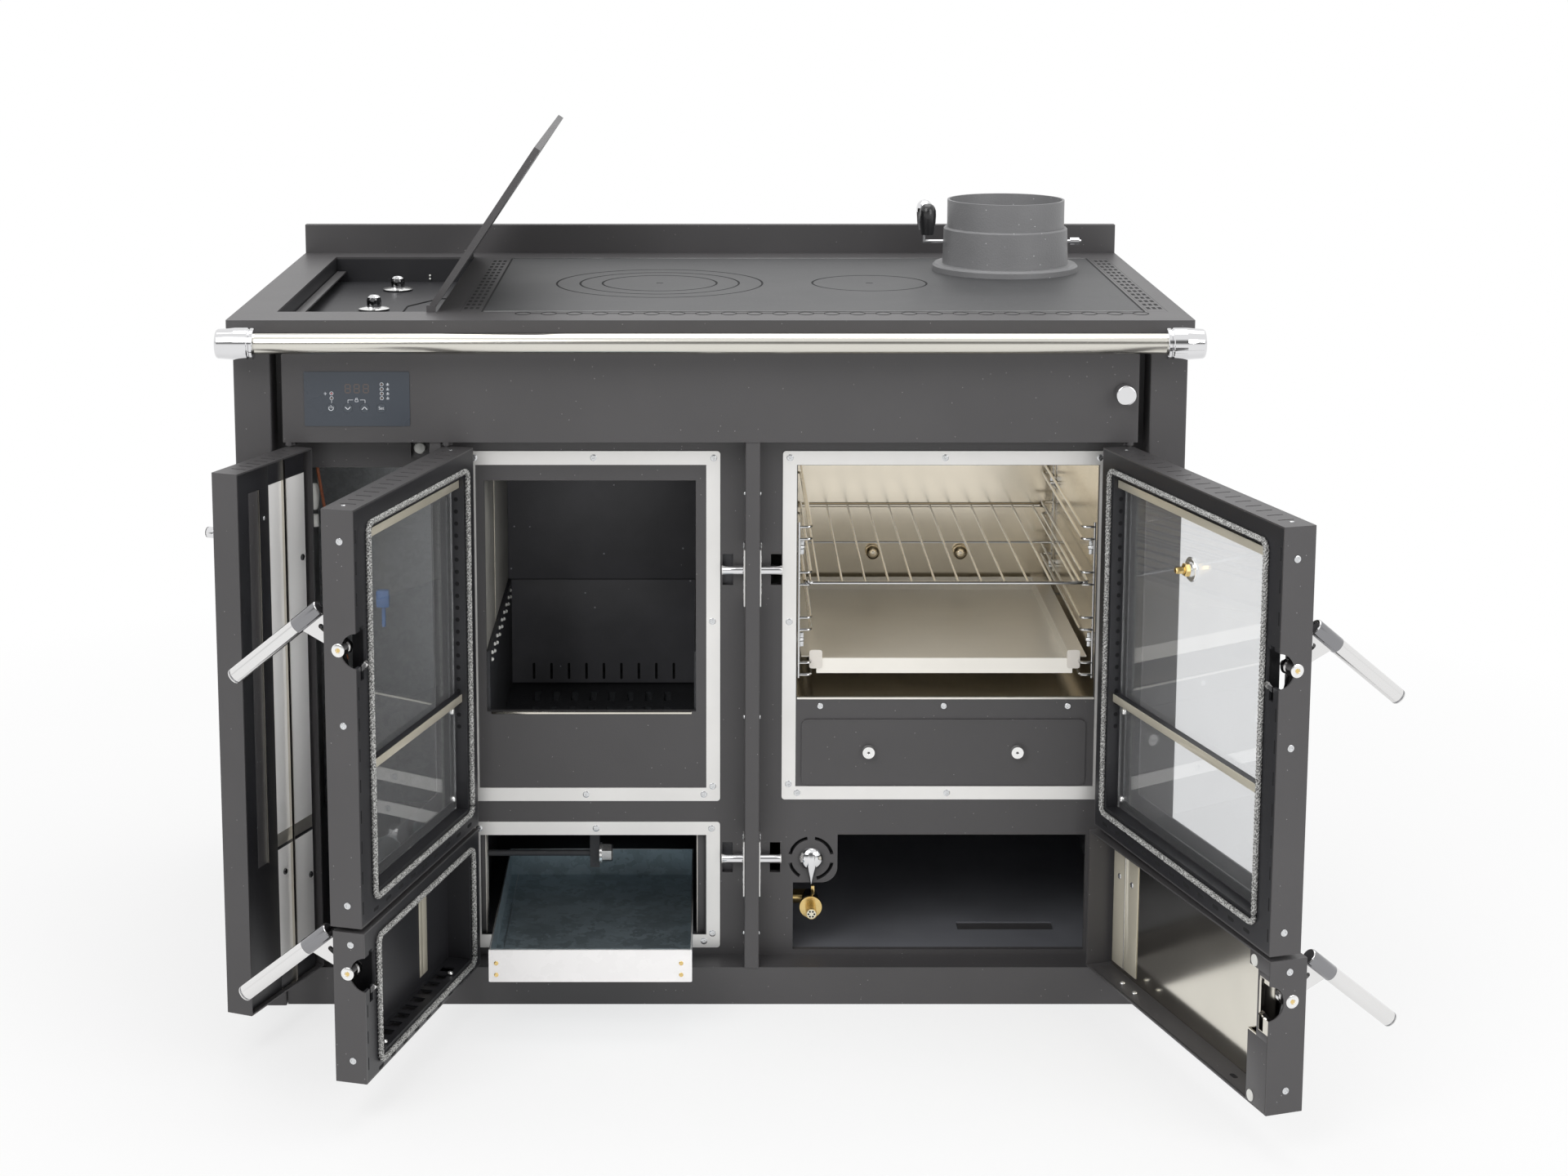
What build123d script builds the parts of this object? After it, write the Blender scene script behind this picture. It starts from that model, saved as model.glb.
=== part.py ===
from build123d import *

import os
from dataclasses import dataclass
from math import cos, radians, sin

# Wood cookstove with a water jacket, as an assembly of separate pieces.
# Millimetres, +X to the right as seen from the front, the front towards -Y, +Z up.
# The origin lies on the floor under the middle of the worktop.
# Doors, handles and lid are drawn shut and then turned to the stored, open pose.

# Overall sizes
WORKTOP_WIDTH = 1150.0
WORKTOP_DEPTH = 660.0
WORKTOP_HEIGHT = 860.0
APRON = 15.0
WORKTOP_SHEET = 3.0
UPSTAND = 40.0
UPSTAND_DEPTH = 15.0
BODY_WIDTH = 1138.0
BODY_SET_BACK = 8.0
BACK_OVERHANG = 15.0
SIDE_SHEET = 3.0
SHEET = 2.0
FLANGE = 44.0
PLINTH_HEIGHT = 48.0
PLINTH_SET_BACK = 4.0
PLINTH_RIM = 25.0
PLINTH_CHANNEL = 60.0
FRAME_PLATE = 8.0
FRAME_SET_BACK = 45.5
TRIM_SHEET = 1.5

FRONT = -WORKTOP_DEPTH / 2
BACK = WORKTOP_DEPTH / 2
CASING_FRONT = FRONT + BODY_SET_BACK
CASING_BACK = BACK - BACK_OVERHANG
FRAME_FACE = CASING_FRONT + FRAME_SET_BACK
FRAME_BACK = FRAME_FACE + FRAME_PLATE
TRIM_FACE = FRAME_FACE - TRIM_SHEET
BODY_HALF = BODY_WIDTH / 2
BAY_HALF = BODY_HALF - FLANGE
CASING_TOP = WORKTOP_HEIGHT - APRON
SHEET_UNDER = WORKTOP_HEIGHT - WORKTOP_SHEET

# Fascia, control panel and bypass knob
FASCIA_SIDE_GAP = 13.0
FASCIA_HALF = BAY_HALF - FASCIA_SIDE_GAP
FASCIA_BOTTOM = 711.0
PANEL_INSET = 27.0
PANEL_LEFT = PANEL_INSET - FASCIA_HALF
PANEL_WIDTH = 126.0
PANEL_BOTTOM = 731.0
PANEL_HEIGHT = 66.0
PANEL_PROUD = 1.0
PANEL_BOX_DEPTH = 28.0
KEY_COUNT = 4
KEY_PITCH = 20.0
KEY_FIRST = 32.0
KEY_UP = 21.8
KEY_RADIUS = 5.5
KEY_TRAVEL = 0.6
BYPASS_INSET = 18.0
BYPASS_X = FASCIA_HALF - BYPASS_INSET
BYPASS_Z = 771.0
BYPASS_KNOB_RADIUS = 12.0
BYPASS_KNOB_LENGTH = 18.0
BYPASS_ROD_RADIUS = 4.0

# Cooking plate, rings, vents
PLATE_LEFT = -276.0
PLATE_RIGHT = 525.0
PLATE_FRONT = 70.0
PLATE_BACK_GAP = 65.0
PLATE_LENGTH = WORKTOP_DEPTH - UPSTAND_DEPTH - PLATE_BACK_GAP - PLATE_FRONT
PLATE_BACK = FRONT + PLATE_FRONT + PLATE_LENGTH
PLATE_THICKNESS = 8.0
PLATE_GAP = 1.0
LEDGE = 6.0
LEDGE_OUTER = 12.0
HOB_BEHIND_MIDDLE = 2.0
HOB_Y = PLATE_BACK - PLATE_LENGTH / 2 + HOB_BEHIND_MIDDLE
MAIN_HOB_X = -66.0
MAIN_HOB_RADII = (134.0, 103.5, 74.5)
SMALL_HOB_X = 207.6
SMALL_HOB_RADIUS = 74.5
HOB_STEP = 6.0
HOB_GAP = 0.7
HOB_EASE = 0.8
LIFT_SLOT = (9.0, 3.5)
VENT_WIDTH = 24.0
VENT_LEFT_GAP = 3.5
VENT_RIGHT_GAP = 5.0
VENT_SHEET = 2.0
VENT_ROWS = 3
VENT_HOLES = 16
VENT_HOLE = 4.2
VENT_ROW_PITCH = 7.0

# Flue collar and damper
FLUE_X = 398.6
FLUE_FROM_BACK = 121.0
FLUE_Y = PLATE_BACK - FLUE_FROM_BACK
FLUE_BORE = 75.5
FLUE_THROAT = 72.0
COLLAR_FLANGE_RADIUS = 97.75
COLLAR_FLANGE_THICKNESS = 10.0
COLLAR_BODY_BOTTOM_RADIUS = 84.5
COLLAR_BODY_TOP_RADIUS = 83.0
COLLAR_BODY_TOP = 59.0
COLLAR_SPIGOT_RADIUS = 78.5
COLLAR_HEIGHT = 96.0
SOCKET_DEPTH = 50.0
DAMPER_Z = 39.0
DAMPER_ROD_RADIUS = 2.2
DAMPER_DISC_RADIUS = 70.5
DAMPER_DISC_THICKNESS = 3.0
DAMPER_CRANK_REACH = 109.6
DAMPER_KNOB_BOTTOM = 16.0
DAMPER_KNOB_HEIGHT = 40.6
DAMPER_NUT_RADIUS = 5.2
RUNNING_GAP = 0.05

# Lid and recess
RECESS_LEFT = -525.0
RECESS_RIGHT = -331.0
RECESS_BACK_GAP = 48.0
RECESS_LENGTH = WORKTOP_DEPTH - UPSTAND_DEPTH - RECESS_BACK_GAP - PLATE_FRONT
RECESS_DEPTH = 35.0
LID_HINGE_X = -338.0
LID_LENGTH = 233.0
LID_THICKNESS = 8.0
LID_GAP = 0.3
LID_OPEN = 124.0
LID_EAR = 3.0
LID_EAR_WIDTH = 11.0
LID_PIN_RADIUS = 1.8
LID_PIN_LENGTH = 9.0
VALVE_KNOBS = {"heating_valve_knob": (86.0, 274.0), "water_valve_knob": (96.0, 89.0)}
ESCUTCHEON_RADIUS = 20.0

# Handrail
RAIL_RADIUS = 12.25
RAIL_DROP = 23.0
RAIL_FORWARD = 32.0
RAIL_HALF = 581.0
BARREL_RADIUS = 19.0
BARREL_LENGTH = 45.0
BARREL_RING = 5.0
BARREL_GROOVE = 1.5
BARREL_TAPER = 1.5
BARREL_EASE = 3.0
POST_RADIUS = 7.5

# Doors
HINGE_INSET = 4.0
HINGE_PIN_RADIUS = 2.5
HINGE_PIN_REACH = 8.0
HINGE_BRACKET_WIDTH = 12.0
SKIN = 2.0
DIVIDER_LEFT = 42.0
DIVIDER_RIGHT = 60.0
DIVIDER_SET_BACK = 2.0
FREE_GAP = 3.6
POST_LEFT = -337.0
POST_RIGHT = -323.0
UPPER_BOTTOM = 234.5
LOWER_TOP = 229.0
DOOR_TOP = 705.0
DOOR_BOTTOM = 54.0
GASKET_WIDTH = 10.0
GASKET_GAP = 0.3
TRIM_BAR = 17.0
GLASS_DEPTH = 18.0
GLASS_THICKNESS = 4.0
GLASS_LAP = 12.0
CHANNEL = 9.0
LOWER_CHANNEL_UP = 165.5
WINDOW_MARGIN = 52.0
DOOR_SLOTS = {"left": 8, "fire": 15, "oven": 17}
LEFT_KNOB = (14.0, 631.0, 6.25, 16.0)
THERMOMETER = (208.0, 603.6, 14.0, 5.0)
THERMOMETER_STEM = 15.0
THERMOMETER_STEM_RADIUS = 5.0

# Latches
UPPER_LATCH_Z = 549.0
LOWER_LATCH_Z = 181.0
PIVOT_DEPTH = 16.5
PIVOT_RADIUS = 4.0
LEVER_INSET = 17.0
LEVER_THICKNESS = 6.0
HUB_RADIUS = 9.0
HOOK_INNER = 28.3
HOOK_OUTER = 33.3
HOOK_START = -30.6
HOOK_END = -80.0
HOOK_ARM_END = -112.0
HANDLE_REACH = 50.0
HANDLE_ABOVE = 5.4
HANDLE_BELOW = 131.7
HANDLE_RADIUS = 9.0
HANDLE_LIFT = 50.6
STRIKER_RADIUS = 5.65
STRIKER_DROP = 4.0
STRIKER_LENGTH = 20.0
STRIKER_START = 6.5
STRIKER_BACK = 8.5
STRIKER_PLATE = 1.5
STRIKER_PLATE_HEIGHT = 70.0
NOTCH_RADIUS = 20.0
POCKET_WIDTH = 13.0
POCKET_ABOVE = 14.0
POCKET_BELOW = 25.0

# Openings in the front plate, left, right, bottom, top
FIRE_OPENING = (-275.6, -17.7, 363.6, 654.9)
ASH_OPENING = (-290.0, -6.4, 70.0, 205.0)
OVEN_OPENING = (106.4, 473.5, 380.5, 673.8)
DUCT_OPENING = (126.0, 450.0, 280.0, 344.0)
STORE_OPENING = (158.3, 467.0, 55.0, 205.0)
STORE_LOW_OPENING = (103.0, 240.0, 55.0, 142.7)
SERVICE_OPENING = (-505.0, -341.0, 58.0, 671.0)
FIRE_TRIM = (-303.0, 12.0, 249.0, 691.5)
ASH_TRIM = (-303.0, 12.0, 58.0, 222.0)
OVEN_TRIM = (88.3, 491.0, 251.0, 691.5)
DUCT_COVER = (112.7, 463.6, 270.0, 354.0)

# Inside
FIRE_LEFT = -285.0
FIRE_RIGHT = -7.0
FIRE_DEPTH = 368.5
JACKET_WALL = 36.0
JACKET_TO_PLATE = 3.0
JACKET_TOP = WORKTOP_HEIGHT - PLATE_THICKNESS - JACKET_TO_PLATE
FLUE_BOX_BOTTOM = 678.0
FLUE_BOX_RIGHT = 519.0
FLUE_BOX_BACK = 575.0
FLUE_BOX_SHEET = 3.0
GRATE_TOP = 290.0
GRATE_THICKNESS = 14.0
GRATE_SLOTS = 8
GRATE_SLOT_PITCH = 25.1
LINER_TOP = 438.0
LINER_THICKNESS = 13.0
OVEN_DEPTH = 438.0
OVEN_SHEET = 1.5
OVEN_BUTTONS = (225.9, 347.5)
OVEN_BUTTON_Z = 460.0
OVEN_BUTTON_RADIUS = 10.3
RUNNER_WIRE = 1.6
RUNNER_POST = 1.8
RUNNER_WALL_GAP = 0.5
RUNNER_INSET = 17.5
RUNNER_BOTTOM = 408.0
RUNNER_PAIR = 15.3
RUNNER_PITCH = 57.2
RUNNER_LEVELS = 4
RUNNER_LENGTH = 400.0
RUNNER_STUD = 8.0
RACK_BARS = 12
RACK_BAR_PITCH = 28.5
RACK_EDGE = 2.0
RACK_WIRE = 1.5
RACK_LEVEL = 2
TRAY_HALF = 158.5
TRAY_DEPTH = 18.0
TRAY_SHEET = 1.2
STORE_BOX = (98.0, 520.0, 232.0)
STORE_DEPTH = 500.0
ASH_PAN = (-265.0, -22.0, 74.5, 114.0)
ASH_PAN_LIP = 2.0
ASH_PAN_LENGTH = 359.0
ASH_PAN_OUT = 148.0
INSPECTION_SCREWS = (195.4, 379.2)
INSPECTION_SCREW_RADIUS = 8.0
STORE_SLOT = (219.0, 342.0, 133.0, 160.0)
LEVER_Z = 170.0
LEVER_BEHIND = 24.0
LEVER_ROD_RADIUS = 4.0
LEVER_ARM = (-151.0, -139.0, 153.0, 205.0)
LEVER_WASHER = (13.0, 3.0)
LEVER_NUT = (11.0, 13.0)
DRAFT_X = 125.5
DRAFT_Z = 173.8
DRAFT_POINTER = 32.0
DRAFT_PROUD = 11.0
KNOB_ROOM = 4.0
DRAFT_SLOT_RADII = (24.5, 28.7)
DRAFT_SLOTS = ((12.0, 80.0), (100.0, 168.0), (192.0, 238.0), (285.0, 348.0))
DRAFT_CORNER = 20.0
STORE_FOLD = 44.0
STORE_HINGE_GAP = 10.0
STORE_SHEET_DEPTH = 12.0
DRAIN_X = 127.0
DRAIN_Z = 95.0
DRAIN_BEHIND = 72.0
DRAIN_PIPE_RADIUS = 9.0
DRAIN_NOZZLE = (6.7, 4.5, 26.0)
DRAIN_NOZZLE_BEHIND = 8.0
DRAIN_FLANGE = (14.0, 6.0)
WATER_X = (-300.0, 10.0)
WATER_Z = (150.0, 780.0)
WATER_RADIUS = 16.5
WATER_PIPE_RADIUS = 15.5
WATER_BORE = 12.5
WATER_THREAD = 25.0


def block(x0, x1, y0, y1, z0, z1):
    """A box between two opposite corners."""
    centre = Pos((x0 + x1) / 2, (y0 + y1) / 2, (z0 + z1) / 2)
    return centre * Box(abs(x1 - x0), abs(y1 - y0), abs(z1 - z0))


def rod(start, end, radius):
    """A round bar between two points."""
    line = Vector(*end) - Vector(*start)
    bar = Cylinder(radius, line.length, align=(Align.CENTER, Align.CENTER, Align.MIN))
    return Plane(origin=start, z_dir=line.normalized()) * bar


def pipe(start, end, outer, inner):
    """A round tube between two points."""
    return rod(start, end, outer) - rod(start, end, inner)


def front_rect(area, radius=0.0, grow=0.0):
    """A rectangle as seen from the front, from left, right, bottom and top."""
    left, right, bottom, top = area
    width, height = right - left + 2 * grow, top - bottom + 2 * grow
    shape = RectangleRounded(width, height, radius) if radius else Rectangle(width, height)
    return Pos((left + right) / 2, (bottom + top) / 2) * shape


def front_plate_of(sketch, face_y, thickness):
    """A flat plate drawn as seen from the front, from its front face backwards."""
    plane = Plane(origin=(0, face_y + thickness, 0), x_dir=(1, 0, 0), z_dir=(0, -1, 0))
    return extrude(plane * sketch, thickness, dir=(0, -1, 0))


def top_plate_of(sketch, bottom_z, thickness):
    """A flat plate drawn as seen from above, from its underside up."""
    return extrude(Plane.XY.offset(bottom_z) * sketch, thickness, dir=(0, 0, 1))


def side_plate_of(sketch, x, thickness):
    """A flat plate drawn as seen from the right with Y across and Z up, centred on x."""
    plane = Plane(origin=(x - thickness / 2, 0, 0), x_dir=(0, 1, 0), z_dir=(1, 0, 0))
    return extrude(plane * sketch, thickness, dir=(1, 0, 0))


def top_rect(x0, x1, y0, y1):
    """A rectangle as seen from above."""
    return Pos((x0 + x1) / 2, (y0 + y1) / 2) * Rectangle(abs(x1 - x0), abs(y1 - y0))


def ring_plate(area, bar, face_y, thickness, radius=0.0):
    """A flat frame of one bar width as seen from the front."""
    inner = max(radius - bar, 0.0)
    return front_plate_of(front_rect(area, radius) - front_rect(area, inner, -bar), face_y, thickness)


def polar(centre_across, centre_up, radius, angle):
    """A point at a radius and an angle in degrees round a centre, drawn across and up."""
    return (centre_across + radius * cos(radians(angle)), centre_up + radius * sin(radians(angle)))


@dataclass(frozen=True)
class Door:
    """A door leaf, given by its shut position, and the angle of its stored pose."""

    hinge_x: float
    free_x: float
    bottom: float
    top: float
    depth: float
    opened: float
    latch_z: float = 0.0

    @property
    def side(self):
        return 1 if self.free_x > self.hinge_x else -1

    @property
    def back(self):
        return CASING_FRONT + self.depth

    @property
    def axis_x(self):
        return self.hinge_x + self.side * HINGE_INSET

    def from_hinge(self, distance):
        return self.hinge_x + self.side * distance

    def from_free(self, distance):
        return self.free_x - self.side * distance

    def area(self, margin):
        left, right = sorted((self.from_hinge(margin), self.from_free(margin)))
        return (left, right, self.bottom + margin, self.top - margin)

    def swing(self, shape):
        """Turn a shape drawn on the shut door to the stored pose."""
        pin = Pos(self.axis_x, CASING_FRONT + HINGE_INSET, 0)
        home = Pos(-self.axis_x, -CASING_FRONT - HINGE_INSET, 0)
        return pin * Rot(0, 0, -self.side * self.opened) * home * shape


LEFT_DOOR = Door(-509.0, POST_LEFT - 3.0, DOOR_BOTTOM, DOOR_TOP, 33.0, 112.0)
FIRE_DOOR = Door(-321.0, DIVIDER_LEFT - FREE_GAP, UPPER_BOTTOM, DOOR_TOP, 37.0, 106.0, UPPER_LATCH_Z)
ASH_DOOR = Door(-321.0, DIVIDER_LEFT - FREE_GAP, DOOR_BOTTOM, LOWER_TOP, 37.0, 105.6, LOWER_LATCH_Z)
OVEN_DOOR = Door(507.0, DIVIDER_RIGHT + FREE_GAP, UPPER_BOTTOM, DOOR_TOP, 37.0, 106.7, UPPER_LATCH_Z)
STORE_DOOR = Door(507.0, DIVIDER_RIGHT + FREE_GAP, DOOR_BOTTOM, LOWER_TOP, 44.0, 107.8, LOWER_LATCH_Z)


def base_frame():
    """Plinth: a folded tray with a rim that stands on the floor."""
    nose = top_rect(-BAY_HALF + 1, BAY_HALF - 1, CASING_FRONT + PLINTH_SET_BACK, FRAME_BACK)
    inner_half = BODY_HALF - SIDE_SHEET
    outline = nose + top_rect(-inner_half, inner_half, FRAME_BACK - 1, CASING_BACK - SHEET)
    shell = top_plate_of(outline, 0, PLINTH_HEIGHT)
    shell -= top_plate_of(offset(outline, -SHEET, kind=Kind.INTERSECTION), SHEET, PLINTH_HEIGHT - 2 * SHEET)
    shell -= top_plate_of(offset(outline, -PLINTH_RIM, kind=Kind.INTERSECTION), 0, SHEET)
    half = PLINTH_CHANNEL / 2
    channel = block(-inner_half + SHEET, inner_half - SHEET, -half, half, 0, PLINTH_HEIGHT - SHEET)
    channel -= block(-inner_half, inner_half, -half + SHEET, half - SHEET, SHEET, PLINTH_HEIGHT - SHEET)
    return shell + channel


def side_panels():
    """Two casing sides, each folded in at the front and back towards the frame."""
    t = SIDE_SHEET
    outline = Polygon(
        (BODY_HALF, CASING_BACK), (BODY_HALF, CASING_FRONT), (BAY_HALF, CASING_FRONT),
        (BAY_HALF, FRAME_FACE), (BAY_HALF + t, FRAME_FACE), (BAY_HALF + t, CASING_FRONT + t),
        (BODY_HALF - t, CASING_FRONT + t), (BODY_HALF - t, CASING_BACK), align=None)
    corners = [v for v in outline.vertices() if abs(v.Y - CASING_FRONT) < 0.01]
    right = top_plate_of(fillet(corners, 2.0), 0, CASING_TOP)
    return [right, mirror(right, Plane.YZ)]


def back_panel():
    """Rear sheet with vent slots and the holes for the water stubs."""
    half = BODY_HALF - SIDE_SHEET
    sketch = front_rect((-half, half, PLINTH_HEIGHT, CASING_TOP))
    for x in (half * 0.45, half * 0.75):
        for row in range(8):
            sketch -= Pos(x, 560 + 22 * row) * SlotOverall(90, 7)
    sheet = front_plate_of(sketch, CASING_BACK - SHEET, SHEET)
    for x in WATER_X:
        for z in WATER_Z:
            sheet -= rod((x, 0, z), (x, BACK, z), WATER_RADIUS + 2.5)
    return sheet


def plate_opening(grow=0.0):
    """Outline of the worktop's opening for the cooking plate."""
    y = FRONT + PLATE_FRONT
    gap = PLATE_GAP + grow
    return top_rect(PLATE_LEFT - gap, PLATE_RIGHT + gap, y - gap, y + PLATE_LENGTH + gap)


def vent_outline(side, grow=0.0):
    """Outline of one perforated strip beside the cooking plate."""
    edge = PLATE_LEFT - VENT_LEFT_GAP if side < 0 else PLATE_RIGHT + VENT_RIGHT_GAP
    y = FRONT + PLATE_FRONT
    return top_rect(edge - side * grow, edge + side * (VENT_WIDTH + grow), y - grow, y + PLATE_LENGTH + grow)


def recess_outline(grow=0.0):
    """Outline of the recess under the lid."""
    y = FRONT + PLATE_FRONT
    return top_rect(RECESS_LEFT - grow, RECESS_RIGHT + grow, y - grow, y + RECESS_LENGTH + grow)


def lid_axis_z():
    return WORKTOP_HEIGHT + LID_GAP + LID_THICKNESS / 2


def worktop_frame():
    """Folded worktop with its apron, the ledge under the plate, the upstand and the lid's ears."""
    half = WORKTOP_WIDTH / 2
    slab = block(-half, half, FRONT, BACK, CASING_TOP, WORKTOP_HEIGHT)
    slab = chamfer(slab.edges().filter_by(Axis.Z), 1.5)
    t = WORKTOP_SHEET
    slab -= block(-half + t, half - t, FRONT + t, BACK - t, CASING_TOP, SHEET_UNDER)
    slab -= top_plate_of(plate_opening(), CASING_TOP, APRON)
    slab -= top_plate_of(recess_outline(), CASING_TOP, APRON)
    for side in (-1, 1):
        slab -= top_plate_of(vent_outline(side), WORKTOP_HEIGHT - VENT_SHEET, VENT_SHEET)
        slab -= top_plate_of(vent_outline(side, -3.0), CASING_TOP, APRON)
    seat = WORKTOP_HEIGHT - PLATE_THICKNESS
    slab += top_plate_of(plate_opening(2.0) - plate_opening(), seat, SHEET_UNDER - seat)
    slab += top_plate_of(plate_opening(LEDGE_OUTER) - plate_opening(-LEDGE), seat - t, t)
    slab += block(-half, half, BACK - UPSTAND_DEPTH, BACK, WORKTOP_HEIGHT, WORKTOP_HEIGHT + UPSTAND)
    slab -= block(-half + t, half - t, BACK - UPSTAND_DEPTH + t, BACK, WORKTOP_HEIGHT,
                  WORKTOP_HEIGHT + UPSTAND - t)
    z = lid_axis_z()
    near = FRONT + PLATE_FRONT
    far = near + RECESS_LENGTH
    for wall, inward in ((near, 1), (far, -1)):
        ear_y = wall - inward * (LID_GAP + LID_EAR)
        x0, x1 = LID_HINGE_X - LID_EAR_WIDTH / 2, LID_HINGE_X + LID_EAR_WIDTH / 2
        slab += block(x0, x1, ear_y, ear_y + inward * LID_EAR, WORKTOP_HEIGHT, z + LID_THICKNESS / 2)
        slab += rod((LID_HINGE_X, ear_y, z), (LID_HINGE_X, wall + inward * LID_PIN_LENGTH, z), LID_PIN_RADIUS)
    return slab


def vent_strips():
    """Two perforated strips let into the worktop."""
    strips = []
    for side in (-1, 1):
        edge = PLATE_LEFT - VENT_LEFT_GAP if side < 0 else PLATE_RIGHT + VENT_RIGHT_GAP
        middle_x = edge + side * VENT_WIDTH / 2
        middle_y = FRONT + PLATE_FRONT + PLATE_LENGTH / 2
        pitch = PLATE_LENGTH / (VENT_HOLES + 1)
        holes = [Pos(middle_x, middle_y) * place * Rectangle(VENT_HOLE, VENT_HOLE)
                 for place in GridLocations(VENT_ROW_PITCH, pitch, VENT_ROWS, VENT_HOLES)]
        sketch = vent_outline(side, -0.3) - holes
        strips.append(top_plate_of(sketch, WORKTOP_HEIGHT - VENT_SHEET, VENT_SHEET))
    return strips


def stepped_form(x, y, radius, ease):
    """Round form with a step half way down, and its top edge eased in or out."""
    top, bottom = WORKTOP_HEIGHT, WORKTOP_HEIGHT - PLATE_THICKNESS
    middle = (top + bottom) / 2
    profile = Polygon(
        (0, bottom), (radius - HOB_STEP, bottom), (radius - HOB_STEP, middle), (radius, middle),
        (radius, top - HOB_EASE), (radius + ease, top), (0, top), align=None)
    return Pos(x, y, 0) * revolve(Plane.XZ * profile, Axis.Z)


def stepped_hole(x, y, radius):
    """Hole with a ledge half way down, for a ring or a disc."""
    return stepped_form(x, y, radius, HOB_EASE)


def stepped_disc(x, y, radius):
    """Disc that fills a stepped hole with a small gap."""
    return stepped_form(x, y, radius - HOB_GAP, -HOB_EASE)


def cooking_plate():
    """Cast plate with stepped holes for the rings and a throat for the flue."""
    y = FRONT + PLATE_FRONT
    under = WORKTOP_HEIGHT - PLATE_THICKNESS
    plate = block(PLATE_LEFT, PLATE_RIGHT, y, y + PLATE_LENGTH, under, WORKTOP_HEIGHT)
    plate -= stepped_hole(MAIN_HOB_X, HOB_Y, MAIN_HOB_RADII[0])
    plate -= stepped_hole(SMALL_HOB_X, HOB_Y, SMALL_HOB_RADIUS)
    throat = rod((FLUE_X, FLUE_Y, 0), (FLUE_X, FLUE_Y, WORKTOP_HEIGHT), FLUE_THROAT)
    return plate - throat


def hob_rings():
    """Two rings and two discs that lift out of the cooking plate."""
    pieces = []
    for outer, inner in zip(MAIN_HOB_RADII, MAIN_HOB_RADII[1:]):
        pieces.append(stepped_disc(MAIN_HOB_X, HOB_Y, outer) - stepped_hole(MAIN_HOB_X, HOB_Y, inner))
    for x, radius in ((MAIN_HOB_X, MAIN_HOB_RADII[-1]), (SMALL_HOB_X, SMALL_HOB_RADIUS)):
        slot = Pos(x, HOB_Y, WORKTOP_HEIGHT) * Box(*LIFT_SLOT, PLATE_THICKNESS)
        pieces.append(stepped_disc(x, HOB_Y, radius) - slot)
    return pieces


def flue_collar():
    """Cast collar: flange, tapered body, and a socket for the flue pipe above the throat."""
    socket = COLLAR_HEIGHT - SOCKET_DEPTH
    profile = Polygon(
        (FLUE_THROAT, 0), (COLLAR_FLANGE_RADIUS, 0), (COLLAR_FLANGE_RADIUS, COLLAR_FLANGE_THICKNESS - 3),
        (COLLAR_FLANGE_RADIUS - 3, COLLAR_FLANGE_THICKNESS),
        (COLLAR_BODY_BOTTOM_RADIUS, COLLAR_FLANGE_THICKNESS),
        (COLLAR_BODY_TOP_RADIUS, COLLAR_BODY_TOP - 2), (COLLAR_BODY_TOP_RADIUS - 2, COLLAR_BODY_TOP),
        (COLLAR_SPIGOT_RADIUS, COLLAR_BODY_TOP), (COLLAR_SPIGOT_RADIUS, COLLAR_HEIGHT),
        (FLUE_BORE, COLLAR_HEIGHT), (FLUE_BORE, socket), (FLUE_THROAT, socket), align=None)
    collar = Pos(FLUE_X, FLUE_Y, WORKTOP_HEIGHT) * revolve(Plane.XZ * profile, Axis.Z)
    z = WORKTOP_HEIGHT + DAMPER_Z
    reach = COLLAR_FLANGE_RADIUS
    hole = rod((FLUE_X - reach, FLUE_Y, z), (FLUE_X + reach, FLUE_Y, z), DAMPER_ROD_RADIUS + RUNNING_GAP)
    return collar - hole


def flue_damper():
    """Damper disc on its spindle, with the crank, the knob and the end nut."""
    z = WORKTOP_HEIGHT + DAMPER_Z
    left = FLUE_X - DAMPER_CRANK_REACH
    right = FLUE_X + COLLAR_BODY_BOTTOM_RADIUS + 18
    knob_z = z + DAMPER_KNOB_BOTTOM
    spindle = rod((left, FLUE_Y, z), (right, FLUE_Y, z), DAMPER_ROD_RADIUS)
    spindle += Pos(left, FLUE_Y, z) * Sphere(DAMPER_ROD_RADIUS)
    spindle += rod((left, FLUE_Y, z), (left, FLUE_Y, knob_z + 6), DAMPER_ROD_RADIUS)
    spindle += rod((FLUE_X, FLUE_Y, z - DAMPER_DISC_THICKNESS / 2),
                   (FLUE_X, FLUE_Y, z + DAMPER_DISC_THICKNESS / 2), DAMPER_DISC_RADIUS)
    nut_x = FLUE_X + COLLAR_BODY_BOTTOM_RADIUS + 3
    spindle += rod((nut_x, FLUE_Y, z), (nut_x + 12, FLUE_Y, z), DAMPER_NUT_RADIUS)
    top = DAMPER_KNOB_HEIGHT
    outline = Polygon((0, 0), (8.2, 0), (9.4, 8), (10.85, 24), (10.85, top - 11), (9.4, top - 5.4),
                      (5.4, top - 1.4), (0, top), align=None)
    knob = Pos(left, FLUE_Y, knob_z) * revolve(Plane.XZ * outline, Axis.Z)
    return spindle + knob


def handrail():
    """Straight steel tube between the end barrels."""
    y, z = FRONT - RAIL_FORWARD, WORKTOP_HEIGHT - RAIL_DROP
    end = RAIL_HALF - BARREL_LENGTH
    return rod((-end, y, z), (end, y, z), RAIL_RADIUS)


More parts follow.
